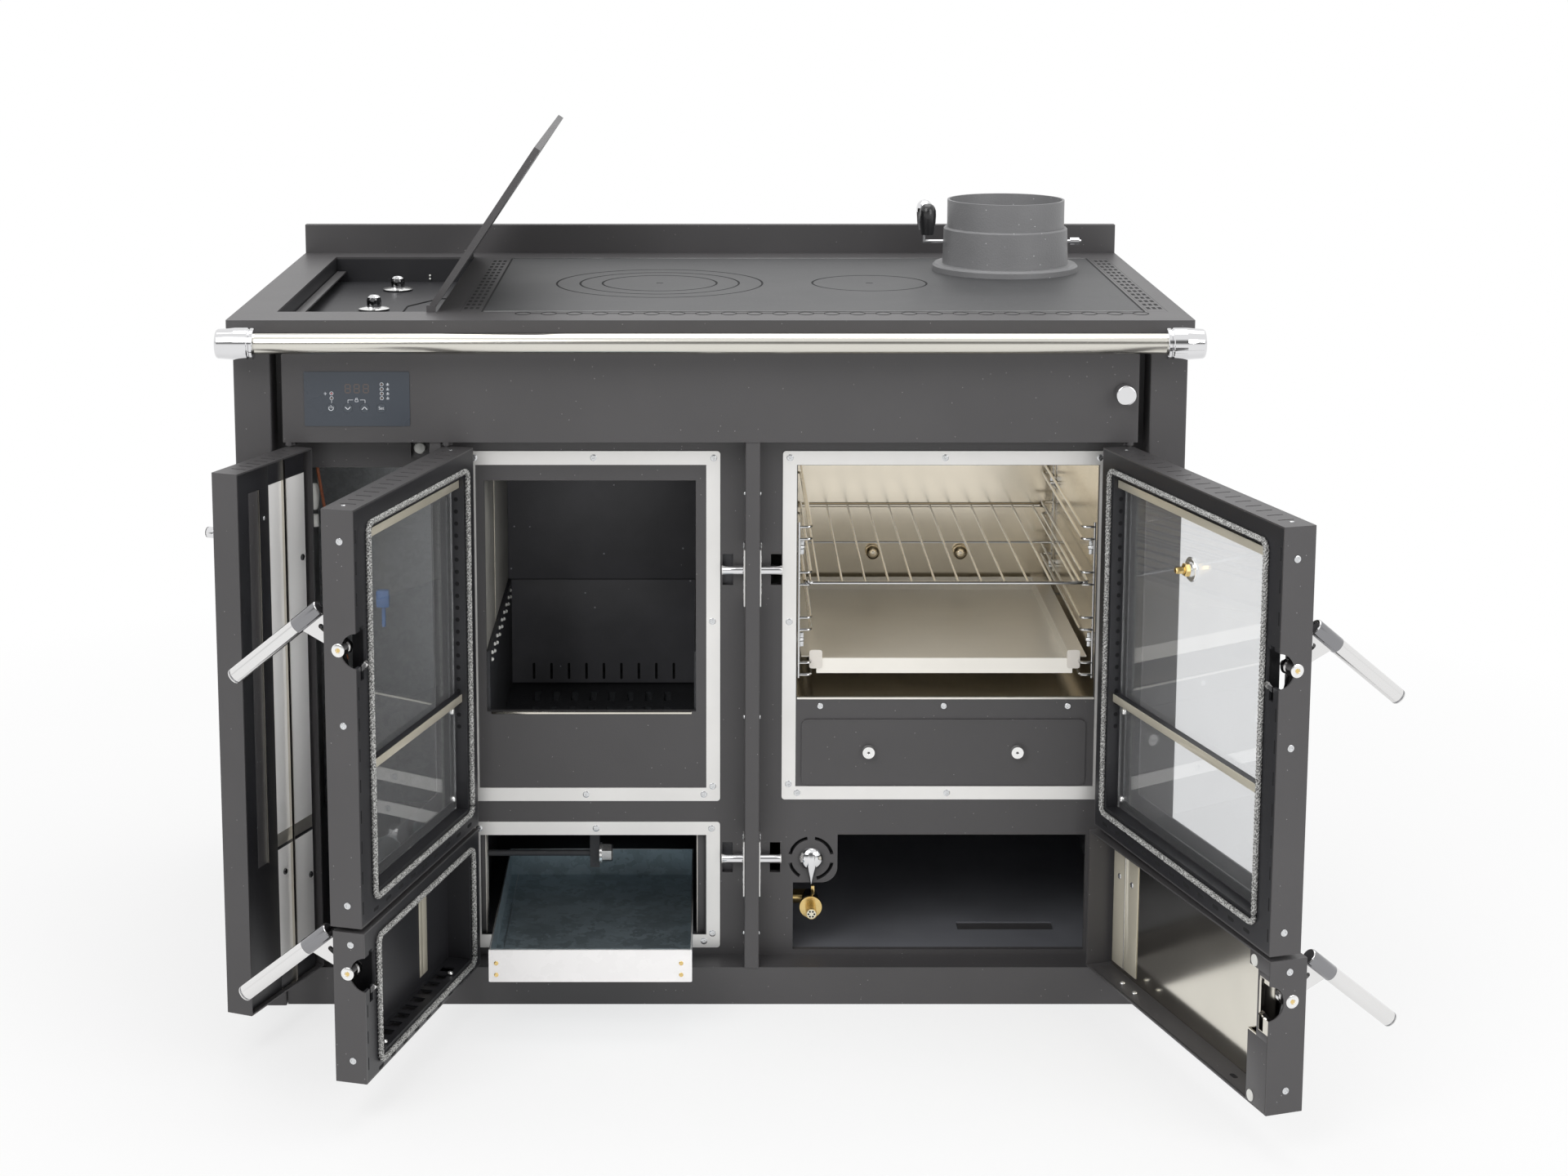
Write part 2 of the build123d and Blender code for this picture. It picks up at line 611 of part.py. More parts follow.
def handrail_brackets():
    """Chromed end barrels, each with a ring, a groove and its post."""
    y, z = FRONT - RAIL_FORWARD, WORKTOP_HEIGHT - RAIL_DROP
    neck, end, ease = BARREL_RADIUS - BARREL_GROOVE, BARREL_LENGTH, BARREL_EASE
    body = BARREL_RING + BARREL_GROOVE
    profile = Polygon(
        (0, 0), (neck, 0), (neck + 1, 1), (neck + 1, BARREL_RING - 1), (neck, BARREL_RING), (neck, body),
        (BARREL_RADIUS - 1, body), (BARREL_RADIUS, body + 1), (BARREL_RADIUS, end / 2),
        (BARREL_RADIUS - BARREL_TAPER, end - ease), (BARREL_RADIUS - BARREL_TAPER - 1, end - 1),
        (BARREL_RADIUS - BARREL_TAPER - ease, end), (0, end), align=None)
    pieces = []
    for side in (-1, 1):
        place = Plane(origin=(side * (RAIL_HALF - end), y, z), z_dir=(side, 0, 0))
        x = side * (RAIL_HALF - end / 2)
        barrel = place * revolve(Plane.XZ * profile, Axis.Z)
        pieces.append(barrel + rod((x, y, z), (x, CASING_FRONT, z), POST_RADIUS))
    return pieces


def panel_area(grow=0.0):
    return (PANEL_LEFT - grow, PANEL_LEFT + PANEL_WIDTH + grow,
            PANEL_BOTTOM - grow, PANEL_BOTTOM + PANEL_HEIGHT + grow)


def front_fascia():
    """Folded strip above the doors, with the openings for the panel and the bypass knob."""
    area = (-FASCIA_HALF, FASCIA_HALF, FASCIA_BOTTOM, CASING_TOP)
    left, right, bottom, top = area
    strip = block(left, right, CASING_FRONT, FRAME_FACE, bottom, top)
    strip = fillet(strip.edges().filter_by(Axis.Z).sort_by(Axis.Y)[:2], 2.0)
    strip -= block(left + SHEET, right - SHEET, CASING_FRONT + SHEET, FRAME_FACE, bottom + SHEET, top - SHEET)
    strip -= front_plate_of(front_rect(panel_area(-4)), CASING_FRONT, SHEET)
    hole = rod((BYPASS_X, FRONT, BYPASS_Z), (BYPASS_X, FRAME_FACE, BYPASS_Z), BYPASS_ROD_RADIUS + RUNNING_GAP)
    return strip - hole


def key_places():
    """Centres of the panel's keys."""
    return [(PANEL_LEFT + KEY_FIRST + KEY_PITCH * n, PANEL_BOTTOM + KEY_UP) for n in range(KEY_COUNT)]


def control_panel():
    """Panel face on the fascia with its electronics box behind."""
    face = front_plate_of(front_rect(panel_area(), 2.0), CASING_FRONT - PANEL_PROUD, PANEL_PROUD)
    box = front_plate_of(front_rect(panel_area(-4)), CASING_FRONT, PANEL_BOX_DEPTH)
    panel = face + box
    for x, z in key_places():
        panel -= rod((x, CASING_FRONT - PANEL_PROUD, z), (x, CASING_FRONT + 3, z), KEY_RADIUS + 0.2)
    return panel


def panel_key(number):
    """One round key, flush with the panel face."""
    x, z = key_places()[number]
    front = CASING_FRONT - PANEL_PROUD - 0.2
    back = CASING_FRONT + 3 - KEY_TRAVEL - 0.1
    return rod((x, front, z), (x, back, z), KEY_RADIUS)


def bypass_rod():
    """Pull rod of the smoke bypass with its knob."""
    x, z = BYPASS_X, BYPASS_Z
    face = CASING_FRONT - 1
    knob = rod((x, face - BYPASS_KNOB_LENGTH, z), (x, face, z), BYPASS_KNOB_RADIUS)
    knob = fillet(knob.edges().filter_by(GeomType.CIRCLE), 1.5)
    return knob + rod((x, face, z), (x, FRAME_FACE + 90, z), BYPASS_ROD_RADIUS)


def latch_pocket(door):
    """Area of the pocket behind a striker pin, as seen from the front."""
    middle = door.from_free(LEVER_INSET)
    return (middle - POCKET_WIDTH / 2, middle + POCKET_WIDTH / 2,
            door.latch_z - POCKET_BELOW, door.latch_z + POCKET_ABOVE)


def latched_doors():
    return (FIRE_DOOR, ASH_DOOR, OVEN_DOOR, STORE_DOOR)


def ring_sector(x, z, inner, outer, start, end):
    """Piece of a flat ring between two angles, as seen from the front."""
    middle = (start + end) / 2
    inside = [polar(x, z, inner, angle) for angle in (end, middle, start)]
    outside = [polar(x, z, outer, angle) for angle in (start, middle, end)]
    return make_face([
        Edge.make_three_point_arc(*outside), Edge.make_line(outside[-1], inside[0]),
        Edge.make_three_point_arc(*inside), Edge.make_line(inside[-1], outside[0])])


def draft_cuts():
    """Air slots round the draft knob, and the rounded corner of the plate below it."""
    x, z = STORE_OPENING[0] - DRAFT_CORNER, STORE_LOW_OPENING[3] + DRAFT_CORNER
    corner = front_rect((x, STORE_OPENING[0], STORE_LOW_OPENING[3], z)) - Pos(x, z) * Circle(DRAFT_CORNER)
    slots = [ring_sector(DRAFT_X, DRAFT_Z, *DRAFT_SLOT_RADII, *arc) for arc in DRAFT_SLOTS]
    return [corner, *slots]


def front_plate():
    """Steel front wall of the stove with every opening cut through it."""
    sketch = front_rect((-BAY_HALF, BAY_HALF, PLINTH_HEIGHT, CASING_TOP))
    for area in (FIRE_OPENING, ASH_OPENING, OVEN_OPENING, STORE_LOW_OPENING, SERVICE_OPENING):
        sketch -= front_rect(area)
    sketch -= front_rect(DUCT_OPENING, 8.0)
    sketch -= front_rect(STORE_OPENING)
    plate = front_plate_of(sketch, FRAME_FACE, FRAME_PLATE)
    for cut in draft_cuts():
        plate -= front_plate_of(cut, FRAME_FACE, FRAME_PLATE)
    for door in latched_doors():
        plate -= front_plate_of(front_rect(latch_pocket(door)), FRAME_FACE, FRAME_PLATE)
    plate -= rod((BYPASS_X, FRAME_FACE, BYPASS_Z), (BYPASS_X, FRAME_BACK, BYPASS_Z),
                 BYPASS_ROD_RADIUS + RUNNING_GAP)
    plate -= rod((DRAFT_X, FRAME_FACE, DRAFT_Z), (DRAFT_X, FRAME_BACK, DRAFT_Z), 4 + RUNNING_GAP)
    return plate


def divider_posts():
    """Left post and centre divider between the doors."""
    face = CASING_FRONT + DIVIDER_SET_BACK
    posts = []
    for left, right in ((POST_LEFT, POST_RIGHT), (DIVIDER_LEFT, DIVIDER_RIGHT)):
        post = block(left, right, face, FRAME_FACE, PLINTH_HEIGHT, FASCIA_BOTTOM)
        posts.append(fillet(post.edges().filter_by(Axis.Z).sort_by(Axis.Y)[:2], 1.5))
    return posts


def opening_frames():
    """Stainless frames that the door gaskets close on."""
    areas = (FIRE_TRIM, ASH_TRIM, OVEN_TRIM)
    return [ring_plate(area, TRIM_BAR, TRIM_FACE, TRIM_SHEET, 4.0) for area in areas]


def striker_plates():
    """Plates on both sides of the divider, each with a grooved pin for one hook."""
    pieces = []
    for door in latched_doors():
        wall = DIVIDER_LEFT if door.side > 0 else DIVIDER_RIGHT
        inner = wall - door.side * STRIKER_PLATE
        z = door.latch_z - STRIKER_DROP
        y = FRAME_FACE - STRIKER_BACK
        middle = door.latch_z - 7
        plate = block(wall, inner, CASING_FRONT + 6, FRAME_FACE,
                      middle - STRIKER_PLATE_HEIGHT / 2, middle + STRIKER_PLATE_HEIGHT / 2)
        neck = inner - door.side * STRIKER_START
        tip = neck - door.side * STRIKER_LENGTH
        pin = rod((inner, y, z), (neck, y, z), STRIKER_RADIUS - 1.5)
        pin += rod((neck, y, z), (tip, y, z), STRIKER_RADIUS)
        groove = tip + door.side * 3.5
        pin -= pipe((groove, y, z), (groove + door.side * 1.6, y, z), STRIKER_RADIUS + 1, STRIKER_RADIUS - 1)
        pieces.append(plate + pin)
    return pieces


def boiler_body():
    """Water jacket round the fire, ash chamber below and flue box above the oven."""
    left, right = FIRE_LEFT - JACKET_WALL, FIRE_RIGHT + JACKET_WALL
    back = FRAME_BACK + FIRE_DEPTH
    body = block(left, right, FRAME_BACK, back + JACKET_WALL, PLINTH_HEIGHT, JACKET_TOP)
    body -= block(FIRE_LEFT, FIRE_RIGHT, FRAME_BACK, back, GRATE_TOP - GRATE_THICKNESS, JACKET_TOP)
    body -= block(ASH_OPENING[0], ASH_OPENING[1], FRAME_BACK, back, ASH_TRIM[2] + TRIM_BAR, 245)
    body -= block(-245, -40, FRAME_BACK + 80, back - 30, 240, GRATE_TOP)
    inner_top = JACKET_TOP - FLUE_BOX_BOTTOM
    t = FLUE_BOX_SHEET
    flue = block(right, FLUE_BOX_RIGHT, FRAME_BACK, FRONT + FLUE_BOX_BACK, FLUE_BOX_BOTTOM, JACKET_TOP)
    flue -= block(right, FLUE_BOX_RIGHT - t, FRAME_BACK + t, FRONT + FLUE_BOX_BACK - t, FLUE_BOX_BOTTOM + t,
                  JACKET_TOP)
    body += flue
    gas_bottom = FLUE_BOX_BOTTOM + inner_top * 0.2
    body -= block(FIRE_RIGHT, right, FRAME_BACK + 30, back - 20, gas_bottom, JACKET_TOP)
    lever_y = FRAME_BACK + LEVER_BEHIND
    body -= rod((left, lever_y, LEVER_Z), (ASH_OPENING[0], lever_y, LEVER_Z), LEVER_ROD_RADIUS + RUNNING_GAP)
    return body - rod((BYPASS_X, FRAME_BACK, BYPASS_Z), (BYPASS_X, FRAME_BACK + t, BYPASS_Z),
                      BYPASS_ROD_RADIUS + RUNNING_GAP)


def hearth_liner():
    """Cast side plates of the hearth with air holes near the top, and a slotted back plate."""
    back = FRAME_BACK + FIRE_DEPTH
    t = LINER_THICKNESS
    pieces = []
    for x in (FIRE_LEFT + t / 2, FIRE_RIGHT - t / 2):
        y0, y1 = FRAME_BACK, back
        sketch = Pos((y0 + y1) / 2, (GRATE_TOP + LINER_TOP) / 2) * Rectangle(y1 - y0, LINER_TOP - GRATE_TOP)
        sketch -= [Pos((y0 + y1) / 2, LINER_TOP - 14) * place * Rectangle(3.5, 3.5)
                   for place in GridLocations(38, 1, 9, 1)]
        pieces.append(side_plate_of(sketch, x, t))
    return pieces


def hearth_grate():
    """Cast grate with a row of long slots."""
    back = FRAME_BACK + FIRE_DEPTH
    x = (FIRE_LEFT + FIRE_RIGHT) / 2
    slab = block(FIRE_LEFT, FIRE_RIGHT, FRAME_BACK, back, GRATE_TOP - GRATE_THICKNESS, GRATE_TOP)
    for row in range(3):
        y = back - 63 - 70 * row
        for place in GridLocations(GRATE_SLOT_PITCH, 1, GRATE_SLOTS, 1):
            slot = Pos(x, y) * place * Rectangle(9, 42)
            slab -= top_plate_of(slot, GRATE_TOP - GRATE_THICKNESS, GRATE_THICKNESS)
    return slab


def oven_box():
    """Stainless oven lining with two ball buttons on the back wall."""
    left, right, bottom, top = OVEN_OPENING
    t = OVEN_SHEET
    back = FRAME_BACK + OVEN_DEPTH
    shell = block(left - t, right + t, FRAME_BACK, back + t, bottom - t, top + t)
    shell -= block(left, right, FRAME_BACK, back, bottom, top)
    for x in OVEN_BUTTONS:
        shell += Pos(x, back - OVEN_BUTTON_RADIUS * 0.7, OVEN_BUTTON_Z) * Sphere(OVEN_BUTTON_RADIUS)
    return shell


def runner_x(side, inset):
    """A place in the oven measured in from its side wall."""
    return OVEN_OPENING[0] + inset if side < 0 else OVEN_OPENING[1] - inset


def oven_runners():
    """Wire ladders on both oven walls, with a pair of rails at each level."""
    pieces = []
    y0 = FRAME_BACK + 1.5
    y1 = y0 + RUNNER_LENGTH
    top = RUNNER_BOTTOM + RUNNER_PITCH * (RUNNER_LEVELS - 1) + RUNNER_PAIR + 6
    for side in (-1, 1):
        wall_x = runner_x(side, RUNNER_POST + RUNNER_WALL_GAP)
        rail_x = runner_x(side, RUNNER_INSET)
        ladder = rod((wall_x, y0, RUNNER_BOTTOM - 4), (wall_x, y0, top), RUNNER_POST)
        ladder += rod((wall_x, y1, RUNNER_BOTTOM - 4), (wall_x, y1, top), RUNNER_POST)
        for level in range(RUNNER_LEVELS):
            lower = RUNNER_BOTTOM + RUNNER_PITCH * level
            for z in (lower, lower + RUNNER_PAIR):
                w = RUNNER_WIRE
                ladder += block(rail_x - w, rail_x + w, y0 - w, y1 + w, z - w, z + w)
                ladder += block(wall_x, rail_x, y0 - w, y0 + w, z - w, z + w)
                ladder += block(wall_x, rail_x, y1 - w, y1 + w, z - w, z + w)
        for z in (RUNNER_BOTTOM + 42, top - 26):
            for y in (y0, y1):
                ladder += rod((runner_x(side, 0), y, z), (runner_x(side, RUNNER_STUD), y, z), 3.0)
        pieces.append(ladder)
    return pieces


def rack_z():
    """Height of the rack's edge wire, resting on the lower rail of its level."""
    return RUNNER_BOTTOM + RUNNER_PITCH * RACK_LEVEL + RUNNER_WIRE + RACK_EDGE + 0.05


def oven_rack():
    """Wire grid that slides on the runners."""
    z = rack_z()
    half = (OVEN_OPENING[1] - OVEN_OPENING[0]) / 2 - RUNNER_POST * 2 - RUNNER_WALL_GAP - RACK_EDGE - 4
    middle = (OVEN_OPENING[0] + OVEN_OPENING[1]) / 2
    y0, y1 = FRAME_BACK - 4, FRAME_BACK + OVEN_DEPTH - 6
    rack = rod((middle - half, y0, z), (middle + half, y0, z), RACK_EDGE)
    rack += rod((middle - half, y1, z), (middle + half, y1, z), RACK_EDGE)
    for side in (-1, 1):
        rack += rod((middle + side * half, y0, z), (middle + side * half, y1, z), RACK_EDGE)
        for y in (y0, y1):
            rack += Pos(middle + side * half, y, z) * Sphere(RACK_EDGE)
    for n in range(RACK_BARS):
        x = middle + RACK_BAR_PITCH * (n - (RACK_BARS - 1) / 2)
        rack += rod((x, y0, z), (x, y1, z), RACK_WIRE)
    return rack


def oven_tray():
    """Steel tray that hangs by its rim on the lowest pair of runners."""
    middle = (OVEN_OPENING[0] + OVEN_OPENING[1]) / 2
    rim_z = RUNNER_BOTTOM + RUNNER_PAIR + RUNNER_WIRE + 0.05
    t = TRAY_SHEET
    y0, y1 = FRAME_BACK + 16, FRAME_BACK + OVEN_DEPTH - 12
    left, right = middle - TRAY_HALF, middle + TRAY_HALF
    tray = block(left, right, y0, y1, rim_z - TRAY_DEPTH, rim_z + t)
    rim = runner_x(1, 6.5) - middle
    tray += block(middle - rim, middle + rim, y0 + 6, y1, rim_z, rim_z + t)
    tray -= block(left + t, right - t, y0 + t, y1 - t, rim_z - TRAY_DEPTH + t, rim_z + t)
    tray += block(left, right, y0 - 4, y0, rim_z - TRAY_DEPTH, rim_z + t)
    return tray


def inspection_cover():
    """Cover of the cleaning duct below the oven, with two thumb screws."""
    cover = front_plate_of(front_rect(DUCT_COVER, 8.0), FRAME_FACE - SHEET, SHEET)
    z = (DUCT_COVER[2] + DUCT_COVER[3]) / 2 + 1.5
    face = FRAME_FACE - SHEET
    for x in INSPECTION_SCREWS:
        cover += rod((x, face - 8, z), (x, face, z), INSPECTION_SCREW_RADIUS)
    return cover


def storage_box():
    """Sheet compartment below the oven, open at the front."""
    left, right, top = STORE_BOX
    bottom = PLINTH_HEIGHT
    back = FRAME_BACK + STORE_DEPTH
    box = block(left, right, FRAME_BACK, back, bottom, top)
    box -= block(left + SHEET, right - SHEET, FRAME_BACK, back - SHEET, bottom + SHEET, top - SHEET)
    x0, x1, y0, y1 = STORE_SLOT
    box -= top_plate_of(top_rect(left + x0, left + x1, FRONT + y0, FRONT + y1), bottom, SHEET)
    y = FRAME_BACK + DRAIN_BEHIND
    box -= rod((left - 1, y, DRAIN_Z), (left + SHEET + 1, y, DRAIN_Z), DRAIN_PIPE_RADIUS + 2)
    return box


def water_fittings():
    """Drain valve in the storage compartment and four threaded stubs at the back."""
    x, z, radius = DRAIN_X, DRAIN_Z, DRAIN_PIPE_RADIUS
    y = FRAME_BACK + DRAIN_BEHIND
    outer, inner, length = DRAIN_NOZZLE
    flange, thickness = DRAIN_FLANGE
    tip = FRAME_BACK + DRAIN_NOZZLE_BEHIND
    seat = tip + length - 2
    valve = pipe((x, tip, z), (x, tip + length, z), outer, inner)
    valve += rod((x, seat, z), (x, seat + thickness, z), flange)
    valve += rod((x, seat + thickness, z), (x, y, z), radius)
    valve += Pos(x, y, z) * Sphere(radius)
    valve += rod((x, y, z), (FIRE_RIGHT + JACKET_WALL, y, z), radius)
    pieces = [valve]
    start = FRAME_BACK + FIRE_DEPTH + JACKET_WALL
    for x in WATER_X:
        for z in WATER_Z:
            stub = rod((x, start, z), (x, CASING_BACK, z), WATER_PIPE_RADIUS)
            stub += rod((x, CASING_BACK, z), (x, CASING_BACK + WATER_THREAD, z), WATER_RADIUS)
            pieces.append(stub - rod((x, start, z), (x, CASING_BACK + WATER_THREAD, z), WATER_BORE))
    return pieces


def valve_place(name):
    """Centre of a valve knob, from the left and the far wall of the recess."""
    from_left, from_far = VALVE_KNOBS[name]
    return RECESS_LEFT + from_left, FRONT + PLATE_FRONT + RECESS_LENGTH - from_far


def utility_tray():
    """Black tray that forms the recess under the lid."""
    floor = WORKTOP_HEIGHT - RECESS_DEPTH
    tray = top_plate_of(recess_outline(SHEET), floor - SHEET, SHEET_UNDER - floor + SHEET)
    tray -= top_plate_of(recess_outline(), floor, SHEET_UNDER - floor)
    for name in VALVE_KNOBS:
        x, y = valve_place(name)
        tray += rod((x, y, floor), (x, y, floor + 2), ESCUTCHEON_RADIUS)
        tray += rod((x, y, floor), (x, y, floor + 8), 4.0)
    return tray


def valve_knob(name):
    """Small fluted chrome valve knob on its stem."""
    x, y = valve_place(name)
    floor = WORKTOP_HEIGHT - RECESS_DEPTH
    knob = rod((x, y, floor + 3), (x, y, floor + 20), 9.0)
    knob = fillet(knob.edges().filter_by(GeomType.CIRCLE).sort_by(Axis.Z)[-1:], 3.0)
    knob += block(x - 3, x + 3, y - 15, y + 15, floor + 12, floor + 18)
    return knob - rod((x, y, floor), (x, y, floor + 8.5), 4.0 + RUNNING_GAP)


def utility_lid():
    """Folded lid hinged along its right edge, turned to the stored pose."""
    y0 = FRONT + PLATE_FRONT
    y1 = y0 + RECESS_LENGTH
    z = lid_axis_z()
    low, high = z - LID_THICKNESS / 2, z + LID_THICKNESS / 2
    left = LID_HINGE_X - LID_LENGTH
    lid = block(left, LID_HINGE_X, y0, y1, low, high)
    lid += rod((LID_HINGE_X, y0, z), (LID_HINGE_X, y1, z), LID_THICKNESS / 2)
    lid -= block(left + SHEET, LID_HINGE_X - 8, y0 + SHEET, y1 - SHEET, low, high - SHEET)
    for start, inward in ((y0, 1), (y1, -1)):
        lid -= rod((LID_HINGE_X, start, z), (LID_HINGE_X, start + inward * (LID_PIN_LENGTH + 0.5), z),
                   LID_PIN_RADIUS + RUNNING_GAP)
    return Pos(LID_HINGE_X, 0, z) * Rot(0, LID_OPEN, 0) * Pos(-LID_HINGE_X, 0, -z) * lid


def hinge_brackets():
    """Brackets above, between and below the doors, each with its hinge pins."""
    low, high = PLINTH_HEIGHT, FASCIA_BOTTOM
    mid = (LOWER_TOP + UPPER_BOTTOM) / 2
    pieces = []
    places = [(LEFT_DOOR, low, low + 4, 1), (LEFT_DOOR, high - 4, high, -1),
              (ASH_DOOR, low, low + 4, 1), (FIRE_DOOR, mid - 1.75, mid + 1.75, 0),
              (FIRE_DOOR, high - 4, high, -1), (STORE_DOOR, low, low + 4, 1),
              (OVEN_DOOR, mid - 1.75, mid + 1.75, 0), (OVEN_DOOR, high - 4, high, -1)]
    y = CASING_FRONT + HINGE_INSET
    for door, bottom, top, direction in places:
        x = door.axis_x
        half = HINGE_BRACKET_WIDTH / 2
        edge = x - door.side * (HINGE_INSET + 0.5)
        plate = block(edge, edge + door.side * HINGE_BRACKET_WIDTH, y, FRAME_FACE, bottom, top)
        plate += rod((x, y, bottom), (x, y, top), half - 1.5)
        if direction >= 0:
            plate += rod((x, y, bottom), (x, y, top + HINGE_PIN_REACH), HINGE_PIN_RADIUS)
        if direction <= 0:
            plate += rod((x, y, bottom - HINGE_PIN_REACH), (x, y, top), HINGE_PIN_RADIUS)
        pieces.append(plate)
    return pieces


def latch_notch(door):
    """Half-moon in the free edge that lets the striker pin in."""
    y, z = door.back + 2, door.latch_z
    return rod((door.from_free(-1), y, z), (door.from_free(28), y, z), NOTCH_RADIUS)


def lever_slot(door, below, above, y0, y1):
    """Slot through one skin of the door for the swinging lever."""
    half = LEVER_THICKNESS / 2 + 1.5
    middle = door.from_free(LEVER_INSET)
    return block(middle - half, middle + half, y0, y1, door.latch_z - below, door.latch_z + above)


def hollow_shell(door):
    """Folded door skin with a solid hinge corner, open at the back, bored for the hinge pins."""
    shell = block(door.hinge_x, door.free_x, CASING_FRONT, door.back, door.bottom, door.top)
    edges = shell.edges().filter_by(Axis.Z).sort_by(Axis.Y)[:2].sort_by(Axis.X)
    hinge_edge, free_edge = (edges[0], edges[-1]) if door.side > 0 else (edges[-1], edges[0])
    shell = fillet(hinge_edge, HINGE_INSET)
    cavity = block(door.from_hinge(SKIN), door.from_free(SKIN), CASING_FRONT + SKIN, door.back,
                   door.bottom + SKIN, door.top - SKIN)
    cavity -= block(door.hinge_x, door.from_hinge(10), CASING_FRONT, CASING_FRONT + 10, door.bottom, door.top)
    shell -= cavity
    x, y = door.axis_x, CASING_FRONT + HINGE_INSET
    for z0, z1 in ((door.bottom, door.bottom + 10), (door.top - 10, door.top)):
        shell -= rod((x, y, z0), (x, y, z1), HINGE_PIN_RADIUS + RUNNING_GAP)
    return shell


def latch_parts(door, shell):
    """Cut the latch openings in a shell and add the pivot pin."""
    shell -= latch_notch(door)
    shell -= lever_slot(door, 24, 34, CASING_FRONT, CASING_FRONT + SKIN)
    y, z = CASING_FRONT + PIVOT_DEPTH, door.latch_z
    shell += rod((door.from_free(0), y, z), (door.from_free(30), y, z), PIVOT_RADIUS)
    return shell


def vent_slots(door, count, z):
    """Row of narrow slots along the top or bottom edge of a door."""
    width = abs(door.free_x - door.hinge_x)
    pitch = (width - 40) / count
    cut = None
    for n in range(count):
        x = door.from_hinge(20 + pitch * (n + 0.5))
        slot = block(x - 1.2, x + 1.2, CASING_FRONT + 9, CASING_FRONT + 28, z - 1.5 * SKIN, z + 1.5 * SKIN)
        cut = slot if cut is None else cut + slot
    return cut


def glazed_shell(door, slots):
    """Outer shell of a door with a window and vent slots in the top edge."""
    shell = hollow_shell(door)
    shell -= front_plate_of(front_rect(door.area(WINDOW_MARGIN), 3.0), CASING_FRONT, SKIN)
    shell -= vent_slots(door, slots, door.top)
    return door.swing(latch_parts(door, shell))


def gasket_area(trim):
    """Middle line of the gasket, along the middle of the stainless frame's bars."""
    left, right, bottom, top = trim
    half = TRIM_BAR / 2
    return (left + half, right - half, bottom + half, top - half)


def recess_area(trim):
    """Area inside the gasket that the inner recess of a door covers."""
    left, right, bottom, top = gasket_area(trim)
    margin = GASKET_WIDTH / 2 + 2
    return (left + margin, right - margin, bottom + margin, top - margin)


def gasket(door, trim):
    """Soft ring between the door and its stainless frame."""
    area = gasket_area(trim)
    half = GASKET_WIDTH / 2
    sketch = front_rect(area, 8.0 + half, half) - front_rect(area, 8.0 - half, -half)
    ring = front_plate_of(sketch, door.back, TRIM_FACE - door.back - GASKET_GAP)
    return door.swing(ring)


def inner_frame(door, trim, floor_depth):
    """Inner door plate with a recess inside the gasket, down to the given depth."""
    back = door.back
    plate = block(door.from_hinge(SKIN), door.from_free(SKIN), back - 3, back,
                  door.bottom + SKIN, door.top - SKIN)
    inside = recess_area(trim)
    plate += front_plate_of(front_rect(inside, 0, SKIN), CASING_FRONT + floor_depth,
                            back - CASING_FRONT - floor_depth)
    plate -= front_plate_of(front_rect(inside), CASING_FRONT + floor_depth + SKIN,
                            back - CASING_FRONT - floor_depth - SKIN)
    if door.latch_z:
        plate -= latch_notch(door)
        plate -= lever_slot(door, 36, 24, CASING_FRONT + SKIN, back)
    return plate


def glazed_inner(door, trim):
    """Inner frame of a glazed door with its window and the bars that hold the glass."""
    plate = inner_frame(door, trim, GLASS_DEPTH - SKIN)
    inside = recess_area(trim)
    plate -= front_plate_of(front_rect(inside, 0, -GLASS_LAP), CASING_FRONT + GLASS_DEPTH - SKIN, SKIN)
    glass_back = CASING_FRONT + GLASS_DEPTH + GLASS_THICKNESS
    for z in (inside[3] - CHANNEL - 4, door.bottom + LOWER_CHANNEL_UP):
        plate += block(inside[0], inside[1], glass_back, glass_back + CHANNEL, z, z + CHANNEL)
    return door.swing(plate)


def glass_pane(door, trim):
    """Ceramic glass behind the window."""
    inside = recess_area(trim)
    pane = front_rect(inside, 0, -0.5)
    return door.swing(front_plate_of(pane, CASING_FRONT + GLASS_DEPTH, GLASS_THICKNESS))


def ash_door_shell():
    return ASH_DOOR.swing(latch_parts(ASH_DOOR, hollow_shell(ASH_DOOR)))


def ash_door_inner():
    """Deep inner pan of the ash door with louvres along its lower wall."""
    pan = inner_frame(ASH_DOOR, ASH_TRIM, 6.0)
    inside = recess_area(ASH_TRIM)
    for n in range(11):
        x = inside[0] + 30 + n * 24
        pan -= block(x, x + 14, CASING_FRONT + 12, CASING_FRONT + 28, inside[2] - 3, inside[2])
    return ASH_DOOR.swing(pan)


def storage_door_shell():
    return STORE_DOOR.swing(latch_parts(STORE_DOOR, hollow_shell(STORE_DOOR)))


def storage_door_inner():
    """Inner sheet of the storage door with a folded free edge, notched where the draft knob turns."""
    door = STORE_DOOR
    low, high = door.bottom + SKIN, door.top - SKIN
    y = CASING_FRONT + STORE_SHEET_DEPTH
    fold = door.from_free(STORE_FOLD)
    sheet = block(door.from_hinge(STORE_HINGE_GAP), fold, y, y + SKIN, low, high)
    sheet += block(fold, door.from_free(STORE_FOLD - SKIN), y, door.back, low, high)
    lip = block(fold, door.from_free(SKIN), door.back - SKIN, door.back, low, high)
    lip -= latch_notch(door)
    lip -= lever_slot(door, 36, 24, CASING_FRONT + SKIN, door.back)
    reach = DRAFT_POINTER + KNOB_ROOM
    knob = block(door.from_free(STORE_FOLD + SKIN), DRAFT_X - reach, FRAME_FACE - DRAFT_PROUD - KNOB_ROOM,
                 door.back, DRAFT_Z - reach, DRAFT_Z + reach)
    return door.swing(sheet + lip - knob)


